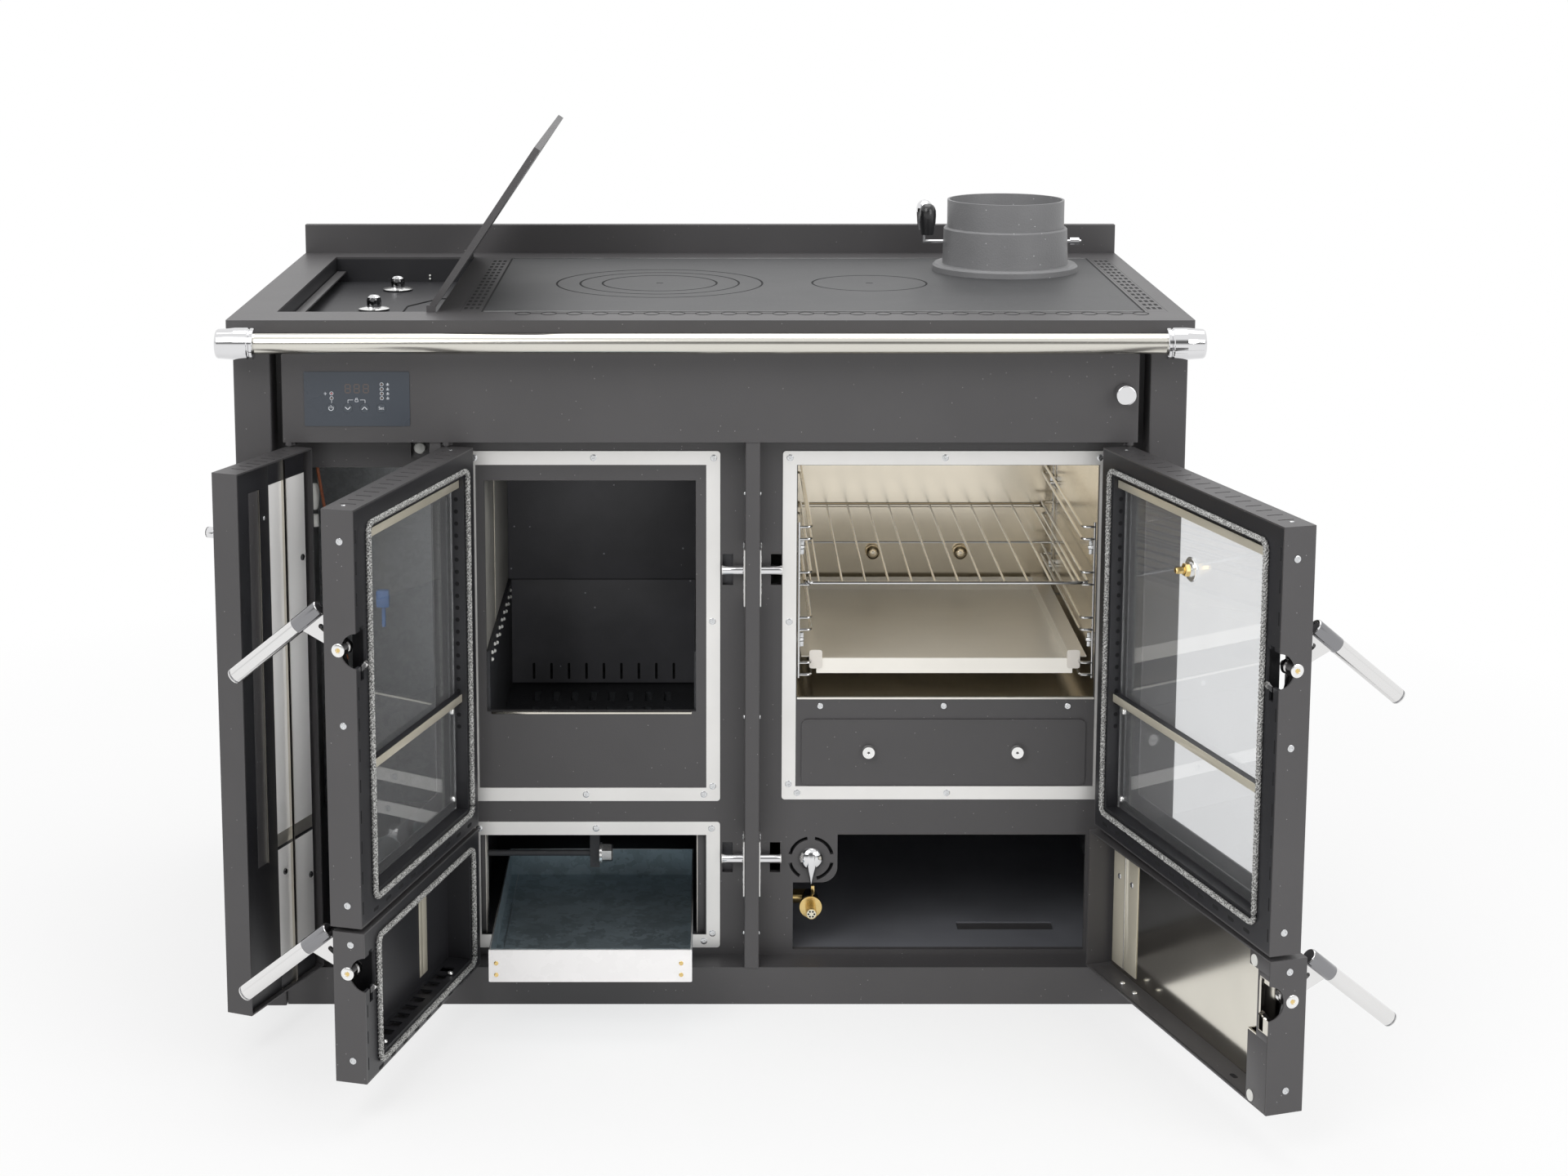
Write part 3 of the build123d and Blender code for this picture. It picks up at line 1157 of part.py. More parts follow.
def left_door_shell():
    """Cover door in front of the service compartment, with its small knob."""
    door = LEFT_DOOR
    shell = hollow_shell(door)
    inset, z, radius, proud = LEFT_KNOB
    x = door.from_free(inset)
    shell += rod((x, CASING_FRONT - proud, z), (x, CASING_FRONT, z), radius)
    shell -= vent_slots(door, DOOR_SLOTS["left"], door.top)
    return door.swing(shell)


def left_door_liner():
    """Polished inner sheet of the cover door, folded round its edge."""
    door = LEFT_DOOR
    sheet = block(door.from_hinge(14), door.from_free(SKIN), door.back - 8, door.back - 6,
                  door.bottom + SKIN, door.top - SKIN)
    sheet += block(door.from_hinge(60), door.from_hinge(64), door.back - 6, door.back - 2,
                   door.bottom + SKIN, door.top - SKIN)
    return door.swing(sheet)


def latch_handle(door):
    """Hook lever with its bracket and tubular grip, drawn latched and then lifted."""
    y, z = CASING_FRONT + PIVOT_DEPTH, door.latch_z
    x = door.from_free(LEVER_INSET)
    latched = HANDLE_LIFT
    start, end, arm = HOOK_START + latched, HOOK_END + latched, HOOK_ARM_END + latched
    middle = (HOOK_INNER + HOOK_OUTER) / 2
    finger = make_face([
        Edge.make_three_point_arc(polar(y, z, HOOK_OUTER, start), polar(y, z, HOOK_OUTER, (start + end) / 2),
                                  polar(y, z, HOOK_OUTER, end)),
        Edge.make_line(polar(y, z, HOOK_OUTER, end), polar(y, z, HOOK_INNER, end)),
        Edge.make_three_point_arc(polar(y, z, HOOK_INNER, end), polar(y, z, HOOK_INNER, (start + end) / 2),
                                  polar(y, z, HOOK_INNER, start)),
        Edge.make_line(polar(y, z, HOOK_INNER, start), polar(y, z, HOOK_OUTER, start))])
    arm_shape = Polygon(polar(y, z, -1.5, end + 90), polar(y, z, HOOK_INNER + 1, end + 1),
                        polar(y, z, HOOK_OUTER, end),
                        polar(y, z, middle, (end + arm) / 2), polar(y, z, HUB_RADIUS, arm), align=None)
    front = y - HANDLE_REACH
    bracket = Polygon((y, z + HUB_RADIUS - 1), (front, z + HANDLE_ABOVE - 2), (front, z - 31),
                      (y, z - HUB_RADIUS + 1), align=None)
    bracket -= Pos(y - 27, z - 5) * Rotation(0, 0, 12) * SlotOverall(18, 6)
    sketch = finger + arm_shape + bracket + Pos(y, z) * Circle(HUB_RADIUS)
    lever = side_plate_of(sketch, x, LEVER_THICKNESS)
    lever += rod((x - 5, y, z), (x + 5, y, z), HUB_RADIUS - 1.5)
    lever -= rod((x - 6, y, z), (x + 6, y, z), PIVOT_RADIUS + RUNNING_GAP)
    grip = rod((x, front, z - HANDLE_BELOW), (x, front, z + HANDLE_ABOVE), HANDLE_RADIUS)
    grip = fillet(grip.edges().filter_by(GeomType.CIRCLE), 1.5)
    handle = lever + grip
    lifted = Pos(0, y, z) * Rot(-HANDLE_LIFT, 0, 0) * Pos(0, -y, -z) * handle
    return door.swing(lifted)


def oven_thermometer():
    """Round thermometer on the oven door's glass, with its brass stem."""
    door = OVEN_DOOR
    inset, z, radius, thickness = THERMOMETER
    x = door.from_hinge(inset)
    back = CASING_FRONT + GLASS_DEPTH + GLASS_THICKNESS
    face = back + thickness
    dial = rod((x, back, z), (x, face, z), radius)
    stem = rod((x, face, z), (x, face + THERMOMETER_STEM, z), THERMOMETER_STEM_RADIUS)
    return door.swing(dial + stem)


def ash_pan():
    """Galvanised pan, drawn pulled out as in the stored pose."""
    left, right, bottom, top = ASH_PAN
    t = 1.5
    y0 = TRIM_FACE - GASKET_GAP - t - ASH_PAN_OUT
    y1 = y0 + ASH_PAN_LENGTH
    floor, rim = ASH_TRIM[2] + TRIM_BAR + GASKET_GAP, top - ASH_PAN_LIP
    pan = block(left, right, y0 + t, y1, floor, rim)
    pan -= block(left + t, right - t, y0 + t, y1 - t, floor + t, rim)
    pan += block(left + t, right - t, y0 + t, y0 + 12, rim - t, rim)
    return pan + block(left, right, y0, y0 + t, bottom, top)


def grate_lever():
    """Rocking lever of the grate with its washer and nut."""
    y, z = FRAME_BACK + LEVER_BEHIND, LEVER_Z
    left, right, bottom, top = LEVER_ARM
    washer, washer_thickness = LEVER_WASHER
    nut_radius, nut_length = LEVER_NUT
    lever = rod((FIRE_LEFT - JACKET_WALL + 4, y, z), ((left + right) / 2, y, z), LEVER_ROD_RADIUS)
    lever += block(left, right, y - 6, y + 6, bottom, top)
    lever += rod((right, y, z), (right + washer_thickness, y, z), washer)
    seat = Plane(origin=(right + washer_thickness, y, z), z_dir=(1, 0, 0))
    return lever + seat * extrude(RegularPolygon(nut_radius, 6), nut_length)


def draft_knob():
    """Turn knob of the air draft with its pointer."""
    x, z = DRAFT_X, DRAFT_Z
    face = FRAME_FACE - 0.3
    knob = rod((x, face - 3, z), (x, face, z), 15.75)
    knob += rod((x, face - 10, z), (x, face - 3, z), 11.5)
    tip = z - DRAFT_POINTER
    pointer = front_plate_of(Polygon((x - 7, z), (x + 7, z), (x + 1.5, tip), (x - 1.5, tip), align=None),
                             face - DRAFT_PROUD, DRAFT_PROUD)
    knob += pointer
    return knob + rod((x, face, z), (x, FRAME_BACK + 12, z), 4.0)


NODES = {
    "base_frame": base_frame,
    "side_panels": side_panels,
    "back_panel": back_panel,
    "worktop_frame": worktop_frame,
    "vent_strips": vent_strips,
    "cooking_plate": cooking_plate,
    "hob_rings": hob_rings,
    "flue_collar": flue_collar,
    "flue_damper": flue_damper,
    "handrail": handrail,
    "handrail_brackets": handrail_brackets,
    "front_fascia": front_fascia,
    "control_panel": control_panel,
    "bypass_rod": bypass_rod,
    "front_plate": front_plate,
    "divider_posts": divider_posts,
    "opening_frames": opening_frames,
    "striker_plates": striker_plates,
    "boiler_body": boiler_body,
    "hearth_liner": hearth_liner,
    "hearth_grate": hearth_grate,
    "oven_box": oven_box,
    "oven_runners": oven_runners,
    "oven_rack": oven_rack,
    "oven_tray": oven_tray,
    "inspection_cover": inspection_cover,
    "storage_box": storage_box,
    "water_fittings": water_fittings,
    "utility_tray": utility_tray,
    "utility_lid": utility_lid,
    "hinge_brackets": hinge_brackets,
    "left_door_shell": left_door_shell,
    "left_door_liner": left_door_liner,
    "fire_door_shell": lambda: glazed_shell(FIRE_DOOR, DOOR_SLOTS["fire"]),
    "fire_door_inner": lambda: glazed_inner(FIRE_DOOR, FIRE_TRIM),
    "fire_door_glass": lambda: glass_pane(FIRE_DOOR, FIRE_TRIM),
    "fire_door_gasket": lambda: gasket(FIRE_DOOR, FIRE_TRIM),
    "fire_door_handle": lambda: latch_handle(FIRE_DOOR),
    "ash_door_shell": ash_door_shell,
    "ash_door_inner": ash_door_inner,
    "ash_door_gasket": lambda: gasket(ASH_DOOR, ASH_TRIM),
    "ash_door_handle": lambda: latch_handle(ASH_DOOR),
    "oven_door_shell": lambda: glazed_shell(OVEN_DOOR, DOOR_SLOTS["oven"]),
    "oven_door_inner": lambda: glazed_inner(OVEN_DOOR, OVEN_TRIM),
    "oven_door_glass": lambda: glass_pane(OVEN_DOOR, OVEN_TRIM),
    "oven_door_gasket": lambda: gasket(OVEN_DOOR, OVEN_TRIM),
    "oven_door_handle": lambda: latch_handle(OVEN_DOOR),
    "oven_thermometer": oven_thermometer,
    "storage_door_shell": storage_door_shell,
    "storage_door_inner": storage_door_inner,
    "storage_door_handle": lambda: latch_handle(STORE_DOOR),
    "ash_pan": ash_pan,
    "grate_lever": grate_lever,
    "draft_knob": draft_knob,
    "heating_valve_knob": lambda: valve_knob("heating_valve_knob"),
    "water_valve_knob": lambda: valve_knob("water_valve_knob"),
}
for key_number in range(KEY_COUNT):
    NODES[f"panel_key_{key_number + 1}"] = lambda n=key_number: panel_key(n)

os.makedirs("parts", exist_ok=True)
for node, build in NODES.items():
    made = build()
    solids = [s for piece in (made if isinstance(made, list) else [made]) for s in piece.solids()]
    export_step(Compound(children=solids) if len(solids) > 1 else solids[0], f"parts/{node}.step")
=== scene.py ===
"""Looks of the wood cookstove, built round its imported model.

Sizes are in millimetres while a shape is drawn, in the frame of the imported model:
+X to the right as seen from the front, the front towards -Y and +Z up. Each finished
mesh is written in metres.
"""

import logging
from dataclasses import dataclass, field
from enum import Enum
from math import cos, pi, radians, sin
from typing import ClassVar, Iterable, Sequence

import bmesh
import bpy
from mathutils import Matrix, Vector

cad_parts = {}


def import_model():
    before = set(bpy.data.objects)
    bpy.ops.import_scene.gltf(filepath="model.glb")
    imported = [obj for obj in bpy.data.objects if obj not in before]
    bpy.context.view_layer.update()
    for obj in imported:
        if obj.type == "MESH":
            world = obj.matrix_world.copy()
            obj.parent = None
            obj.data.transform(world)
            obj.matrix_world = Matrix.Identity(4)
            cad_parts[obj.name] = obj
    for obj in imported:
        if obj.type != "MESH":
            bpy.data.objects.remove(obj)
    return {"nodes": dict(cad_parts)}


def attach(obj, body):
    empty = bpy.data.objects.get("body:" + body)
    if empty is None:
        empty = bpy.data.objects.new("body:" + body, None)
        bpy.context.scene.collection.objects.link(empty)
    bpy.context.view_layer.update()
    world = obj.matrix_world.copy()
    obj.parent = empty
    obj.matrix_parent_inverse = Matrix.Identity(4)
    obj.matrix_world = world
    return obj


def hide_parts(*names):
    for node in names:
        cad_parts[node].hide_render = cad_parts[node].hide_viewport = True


LOG = logging.getLogger("cookstove")
MM = 0.001

CASING_FRONT = -322.0
FRAME_FACE = -276.5
FRAME_BACK = -268.5
TRIM_FACE = -278.0
COVER_SHEET = 2.0
WORKTOP_TOP = 860.0
HINGE_INSET = 4.0
PIVOT_DEPTH = 16.5
LEVER_INSET = 17.0
HANDLE_LIFT = 50.6
HANDLE_REACH = 50.0
MARK = 0.12
POINT = 0.001
WELD = 0.002
SUNK = 0.05
PRINT_DEPTH = 0.1
BEND_STEPS = 5
ROPE_LOBES = 5
ROPE_INNER = 0.8
ROPE_LAY = 24.0
ROPE_STEP = 2.5
ROPE_SMOOTH = 60.0
SCATTER_SEED = 3
TALL_LEAF = 300.0
TRIM_WIDTH = 15.5
STILL = Matrix.Identity(4)

Pair = tuple[float, float]
Xyz = tuple[float, float, float]
Area = tuple[float, float, float, float]
Colour = tuple[float, float, float]
Mesh = bpy.types.Mesh
Thing = bpy.types.Object
Socket = bpy.types.NodeSocket
Node = bpy.types.Node
Material = bpy.types.Material
Vert = bmesh.types.BMVert

FRONT_FACING = (0.0, -1.0, 0.0)
BACK_FACING = (0.0, 1.0, 0.0)
UP = (0.0, 0.0, 1.0)
ACROSS = (1.0, 0.0, 0.0)
WHITE = (1.0, 1.0, 1.0, 1.0)


class Slot(Enum):
    """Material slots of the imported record."""

    CASING = "casing"
    CAST = "cast"
    INTERIOR = "interior"
    STAINLESS = "stainless"
    CHROME = "chrome"
    ZINC = "zinc"
    GLASS = "glass"
    ROPE = "rope"
    BRASS = "brass"
    PANEL = "panel"


class Head(Enum):
    """Kinds of small fastener heads."""

    CROSS = "cross_recess"
    SOCKET = "hex_socket"
    RIVET = "rivet"


class NodeSheet:
    """Short way to write the nodes of a material or of the world."""

    def __init__(self, owner: Material | bpy.types.World) -> None:
        """Start an empty sheet for its owner."""
        owner.use_nodes = True
        self.tree = owner.node_tree
        self.tree.nodes.clear()

    def add(self, kind: str, *inputs: object, **values: object) -> Node:
        """Add a node and set its properties or sockets.

        Args:
            kind: Type name of the node without its ShaderNode prefix.
            inputs: Values of the first input sockets, in their order.
            values: Properties, or sockets with underscores for spaces. A socket as a value is linked.

        Returns:
            The new node.
        """
        node = self.tree.nodes.new("ShaderNode" + kind)
        for n, value in enumerate(inputs):
            self.put(node, n, value)
        for key, value in values.items():
            if hasattr(node, key):
                setattr(node, key, value)
            else:
                self.put(node, key.replace("_", " "), value)
        return node

    def put(self, node: Node, socket: str | int, value: object) -> None:
        """Set or link one input socket."""
        if isinstance(value, Socket):
            self.tree.links.new(value, node.inputs[socket])
        else:
            node.inputs[socket].default_value = value

    def math(self, operation: str, *values: object) -> Socket:
        """Add a math node, clamped where it multiplies and adds, and return its output."""
        clamp = operation == "MULTIPLY_ADD"
        return self.add("Math", *values, operation=operation, use_clamp=clamp).outputs[0]

    def ramp(self, share: Socket, low: Colour, high: Colour, start: float = 0.0, end: float = 1.0) -> Socket:
        """Blend two colours between two places of the range from 0 to 1."""
        node = self.add("ValToRGB", share)
        for element, place, colour in zip(node.color_ramp.elements, (start, end), (low, high)):
            element.position = place
            element.color = (*colour, 1.0)
        return node.outputs["Color"]

    def finish(self, shader: Socket, kind: str = "Material") -> None:
        """Link the shader to the output of a material or world."""
        self.add("Output" + kind, Surface=shader)


@dataclass(frozen=True)
class Surface:
    """A procedural surface on Object coordinates, with its slot in the record."""

    name: str
    slot: Slot
    colour: Colour

    def tones(self, share: float) -> Colour:
        """The colour made lighter or darker by a share."""
        return tuple(min(1.0, c * (1.0 + share)) for c in self.colour)

    def shader(self, sheet: NodeSheet, place: Socket) -> Socket:
        """Write the nodes and return the shader."""
        raise NotImplementedError

    def material(self) -> Material:
        """Build the material, or return it if it is there already."""
        made = bpy.data.materials.get(self.name)
        if made is None:
            made = bpy.data.materials.new(self.name)
            sheet = NodeSheet(made)
            sheet.finish(self.shader(sheet, sheet.add("TexCoord").outputs["Object"]))
        return made


@dataclass(frozen=True)
class Finish(Surface):
    """Paint, metal or plastic.

    Colour varies slowly by `mottle`, roughness by `wear`, and a fine `grain` stands up from
    the surface. `stretch` pulls the grain into brush lines.
    """

    roughness: float
    metallic: float = 0.0
    mottle: float = 0.06
    mottle_scale: float = 9.0
    wear: float = 0.05
    grain: float = 0.05
    grain_scale: float = 900.0
    stretch: Xyz = (1.0, 1.0, 1.0)
    coat: float = 0.0

    def slow_pattern(self, sheet: NodeSheet, place: Socket) -> Socket:
        """The pattern that drives colour and wear, from 0 to 1."""
        return sheet.add("TexNoise", Vector=place, Scale=self.mottle_scale, Detail=4.0).outputs["Fac"]

    def fine_pattern(self, sheet: NodeSheet, place: Socket) -> Socket:
        """The pattern that stands up from the surface, from 0 to 1."""
        pulled = sheet.add("Mapping", Vector=place, Scale=self.stretch).outputs[0]
        return sheet.add("TexNoise", Vector=pulled, Scale=self.grain_scale, Detail=2.0).outputs["Fac"]

    def tinted(self, sheet: NodeSheet, place: Socket, colour: Socket) -> Socket:
        """The colour with whatever a kind of finish adds to it."""
        return colour

    def shader(self, sheet: NodeSheet, place: Socket) -> Socket:
        """Mottled colour, uneven roughness and fine grain."""
        slow = self.slow_pattern(sheet, place)
        fine = self.fine_pattern(sheet, place)
        tone = sheet.ramp(slow, self.tones(-self.mottle), self.tones(self.mottle), 0.3, 0.7)
        worn = sheet.add("MapRange", Value=slow, To_Min=max(0.02, self.roughness - self.wear),
                         To_Max=self.roughness + self.wear)
        bump = sheet.add("Bump", Height=fine, Strength=1.0, Distance=self.grain * MM)
        return sheet.add("BsdfPrincipled", Metallic=self.metallic, Normal=bump.outputs[0],
                         Base_Color=self.tinted(sheet, place, tone), Roughness=worn.outputs["Result"],
                         Coat_Weight=self.coat).outputs[0]


@dataclass(frozen=True)
class Galvanised(Finish):
    """Zinc-coated sheet with its crystal pattern."""

    def slow_pattern(self, sheet: NodeSheet, place: Socket) -> Socket:
        """Crystals from a cell pattern, softened by noise."""
        bend = sheet.add("TexNoise", Vector=place, Scale=90.0, Detail=2.0)
        shifted = sheet.add("MixRGB", Fac=0.04, Color1=place, Color2=bend.outputs["Color"])
        cells = sheet.add("TexVoronoi", Vector=shifted.outputs[0], Scale=self.mottle_scale)
        return sheet.add("RGBToBW", Color=cells.outputs["Color"]).outputs[0]


@dataclass(frozen=True)
class Speckled(Finish):
    """Textured powder coat: fine dark grain with a few lighter specks."""

    speck_scale: float = 85.0
    speck_size: float = 0.052
    speck_lift: float = 2.4
    large_grain: float = 0.35

    def tinted(self, sheet: NodeSheet, place: Socket, colour: Socket) -> Socket:
        """Sparse light specks over the colour."""
        cells = sheet.add("TexVoronoi", Vector=place, Scale=self.speck_scale)
        near = sheet.math("LESS_THAN", cells.outputs["Distance"], self.speck_size)
        speck = (*self.tones(self.speck_lift), 1.0)
        return sheet.add("MixRGB", Fac=near, Color1=colour, Color2=speck).outputs[0]

    def fine_pattern(self, sheet: NodeSheet, place: Socket) -> Socket:
        """Round grains of two sizes."""
        small = sheet.add("TexVoronoi", Vector=place, Scale=self.grain_scale)
        large = sheet.add("TexNoise", Vector=place, Scale=self.grain_scale * self.large_grain, Detail=3.0)
        return sheet.math("ADD", small.outputs["Distance"], large.outputs["Fac"])


@dataclass(frozen=True)
class Braided(Finish):
    """Glass-fibre rope: grey-white yarn in a fine criss-cross."""

    yarn_scale: float = 620.0

    def slow_pattern(self, sheet: NodeSheet, place: Socket) -> Socket:
        """Light and dark yarns."""
        return sheet.add("TexVoronoi", Vector=place, Scale=self.yarn_scale).outputs["Distance"]

    def fine_pattern(self, sheet: NodeSheet, place: Socket) -> Socket:
        """The knots of the braid."""
        return self.slow_pattern(sheet, place)


@dataclass(frozen=True)
class Clear(Surface):
    """Ceramic glass that shows what is behind it, with a light tint."""

    transmission: float = 0.92

    def shader(self, sheet: NodeSheet, place: Socket) -> Socket:
        """Tinted glass with a faint film."""
        film = sheet.add("TexNoise", Vector=place, Scale=14.0, Detail=3.0).outputs["Fac"]
        return sheet.add("BsdfPrincipled", Roughness=0.0, IOR=1.45, Transmission_Weight=self.transmission,
                         Base_Color=sheet.ramp(film, self.colour, self.tones(0.05))).outputs[0]


@dataclass(frozen=True)
class GlowMark(Surface):
    """A printed mark or a segment with a weak glow. Where the mark is no lit lamp, the glow is painted light.
    """

    strength: float

    def shader(self, sheet: NodeSheet, place: Socket) -> Socket:
        """Ink with a weak glow, which is painted light on print and on unlit segments."""
        ink = sheet.add("TexNoise", Vector=place, Scale=2500.0).outputs["Fac"]
        tone = sheet.ramp(ink, self.tones(-0.15), self.colour)
        return sheet.add("BsdfPrincipled", Roughness=0.4, Base_Color=tone, Emission_Strength=self.strength,
                         Emission_Color=(*self.colour, 1.0)).outputs[0]


Surfaces = dict[str, Surface]

CASING = Speckled("casing_paint", Slot.CASING, (0.074, 0.071, 0.073), 0.42, mottle=0.05, grain=0.06)
LINER_PAINT = Speckled("liner_paint", Slot.INTERIOR, (0.021, 0.021, 0.024), 0.42, grain=0.04)
CAST = Speckled("cast_plate", Slot.CAST, (0.052, 0.053, 0.055), 0.5, mottle=0.08, wear=0.07, grain=0.1,
                grain_scale=620.0)
HEARTH_CAST = Speckled("hearth_cast", Slot.CAST, (0.034, 0.035, 0.039), 0.5, mottle=0.2, grain=0.2,
                       grain_scale=300.0)
INTERIOR = Finish("firebox_paint", Slot.INTERIOR, (0.062, 0.062, 0.068), 0.42, mottle=0.2, mottle_scale=14.0)
BOX_PAINT = Finish("box_paint", Slot.INTERIOR, (0.19, 0.195, 0.215), 0.36, mottle=0.12, grain=0.03)
GRIP = Finish("grip_steel", Slot.STAINLESS, (0.78, 0.775, 0.77), 0.14, 1.0, mottle=0.02, wear=0.02,
              grain=0.002)
TRIM = Finish("trim_stainless", Slot.STAINLESS, (0.86, 0.85, 0.83), 0.42, 0.75, mottle=0.05, grain=0.02,
              grain_scale=1200.0, stretch=(0.1, 1.0, 1.0))
MIRROR = Finish("polished_sheet", Slot.STAINLESS, (0.74, 0.71, 0.63), 0.13, 1.0, mottle=0.05, wear=0.03,
                grain=0.004, grain_scale=300.0)
OVEN_SHEET = Finish("oven_sheet", Slot.STAINLESS, (0.86, 0.79, 0.66), 0.2, 1.0, mottle=0.05, wear=0.04,
                    grain=0.006, grain_scale=500.0, stretch=(1.0, 1.0, 0.1))
# Chrome darkened far below real metal to stand for the dark it reflects: painted reflection.
SLEEVE_PAINTED_REFLECTION = Finish("sleeve_painted_reflection", Slot.CHROME, (0.27, 0.27, 0.28), 0.06, 1.0, mottle=0.03, wear=0.02,
                grain=0.0008)
CHROME = Finish("chrome_polished", Slot.CHROME, (0.74, 0.74, 0.75), 0.05, 1.0, mottle=0.02, wear=0.02,
                grain=0.0008, grain_scale=200.0)
RAIL_STEEL = Finish("rail_steel", Slot.STAINLESS, (0.7, 0.68, 0.62), 0.2, 1.0, mottle=0.02, wear=0.02,
                    grain=0.0008, grain_scale=1500.0, stretch=(0.02, 1.0, 1.0))
WIRE = Finish("wire_chrome", Slot.CHROME, (0.72, 0.72, 0.72), 0.14, 1.0, mottle=0.04, wear=0.04, grain=0.002)
ZINC_SCREW = Finish("zinc_screw", Slot.ZINC, (0.66, 0.67, 0.68), 0.26, 1.0, mottle=0.12, mottle_scale=400.0,
                    grain=0.01)
GALVANISED = Galvanised("galvanised", Slot.ZINC, (0.6, 0.62, 0.63), 0.34, 1.0, mottle=0.07,
                        mottle_scale=110.0, grain=0.01)
PAN_INSIDE = Galvanised("galvanised_dull", Slot.ZINC, (0.4, 0.48, 0.52), 0.4, 0.8, mottle=0.14,
                        mottle_scale=70.0, grain=0.01)
BRASS = Finish("brass_turned", Slot.BRASS, (0.78, 0.58, 0.25), 0.22, 1.0, mottle=0.08, mottle_scale=60.0,
               grain=0.01)
BLACK_PLASTIC = Finish("black_plastic", Slot.PANEL, (0.012, 0.012, 0.013), 0.24, mottle=0.1, grain=0.01,
                       coat=0.3)
PANEL_FILM = Finish("panel_film", Slot.PANEL, (0.052, 0.062, 0.078), 0.28, mottle=0.06, grain=0.008)
KEY_FILM = Finish("key_film", Slot.PANEL, (0.06, 0.072, 0.088), 0.22, mottle=0.06, grain=0.004)
SHADOW = Finish("slot_shadow", Slot.INTERIOR, (0.004, 0.004, 0.005), 0.9, mottle=0.1, grain=0.0)
WHITE_PLASTIC = Finish("white_plastic", Slot.PANEL, (0.82, 0.82, 0.78), 0.4, mottle=0.02, grain=0.004)
RED_WIRE = Finish("capillary", Slot.BRASS, (0.3, 0.1, 0.05), 0.35, mottle=0.1, grain=0.004)
WHITE_ZINC = Finish("bright_zinc", Slot.ZINC, (0.86, 0.86, 0.85), 0.2, 0.85, mottle=0.04,
                    mottle_scale=120.0, grain=0.004)
PALE_ZINC = Galvanised("pale_zinc", Slot.ZINC, (0.97, 0.955, 0.95), 0.42, 0.0, mottle=0.015,
                       mottle_scale=60.0, grain=0.006)
LINING_STEEL = Finish("lining_steel", Slot.INTERIOR, (0.5, 0.49, 0.45), 0.4, 0.3, mottle=0.12, grain=0.01,
                      grain_scale=700.0, stretch=(1.0, 1.0, 0.1))
# Near-white non-metal for the polished liner panels, so they stay bright in the door's shade: painted
# reflection.
LINER_PAINTED_REFLECTION = Finish("liner_painted_reflection", Slot.STAINLESS, (0.98, 0.965, 0.945), 0.16, mottle=0.02, wear=0.02,
                     grain=0.002)
WARM_PLATE = Finish("warm_plate", Slot.STAINLESS, (0.78, 0.73, 0.6), 0.2, 0.35, mottle=0.04, wear=0.03,
                    grain=0.004)
TRAY_METAL = Finish("tray_metal", Slot.STAINLESS, (0.95, 0.92, 0.85), 0.3, 0.4, mottle=0.03, wear=0.03,
                    grain=0.004)
CLIP = Finish("tray_clip", Slot.STAINLESS, (0.78, 0.74, 0.68), 0.3, 0.2, mottle=0.04, wear=0.03, grain=0.004)
BACK_PAINT = Speckled("back_paint", Slot.INTERIOR, (0.17, 0.17, 0.185), 0.45, mottle=0.12,
                      mottle_scale=14.0, grain=0.06, speck_scale=40.0, speck_size=0.05)
# Lighter strips for the light caught by the cooking plate's front and back edges: painted highlight.
EDGE_HIGHLIGHT = Finish("edge_highlight_paint", Slot.CAST, (0.3, 0.3, 0.3), 0.4, 0.3, mottle=0.2, mottle_scale=30.0,
                   grain=0.02)
BRASS_FACE = Finish("brass_face", Slot.BRASS, (0.9, 0.86, 0.7), 0.3, 0.4, mottle=0.05, grain=0.004)
WARM_SEAM = Finish("warm_seam", Slot.STAINLESS, (0.42, 0.4, 0.36), 0.3, 0.5, mottle=0.05, grain=0.002)
BLUE_PLASTIC = Finish("blue_plastic", Slot.PANEL, (0.06, 0.22, 0.6), 0.35, mottle=0.05, grain=0.002)
COLLAR_CAST = Speckled("collar_cast", Slot.CAST, (0.22, 0.22, 0.225), 0.45, mottle=0.08, wear=0.07,
                       grain=0.16, grain_scale=420.0)
ROPE = Braided("seal_rope", Slot.ROPE, (0.36, 0.36, 0.35), 0.85, mottle=0.75, grain=0.6)
GLASS = Clear("ceramic_glass", Slot.GLASS, (0.86, 0.87, 0.88))
# Print and unlit digits glow weakly: painted light.
PRINT = GlowMark("panel_print", Slot.PANEL, (0.72, 0.74, 0.78), 0.12)
DIGIT = GlowMark("panel_digit", Slot.PANEL, (0.16, 0.115, 0.09), 0.08)
RED_LAMP = GlowMark("panel_red", Slot.PANEL, (0.55, 0.2, 0.2), 0.1)


def at(x: float, y: float, z: float) -> Matrix:
    """A shift in millimetres."""
    return Matrix.Translation((x, y, z))


def turn(angle: float, axis: str, pivot: Xyz = (0.0, 0.0, 0.0)) -> Matrix:
    """A turn in degrees about an axis through a pivot."""
    spin = Matrix.Rotation(radians(angle), 4, axis)
    return Matrix.Translation(pivot) @ spin @ Matrix.Translation(-Vector(pivot))


def circle(sides: int, radius: float, height: float, flute: float = 0.0) -> list[Vector]:
    """Points round the Z axis, every second one further in by the depth of a flute."""
    points = []
    for n in range(sides):
        reach = max(radius - flute * (n % 2), POINT)
        points.append(Vector((reach * cos(2 * pi * n / sides), reach * sin(2 * pi * n / sides), height)))
    return points


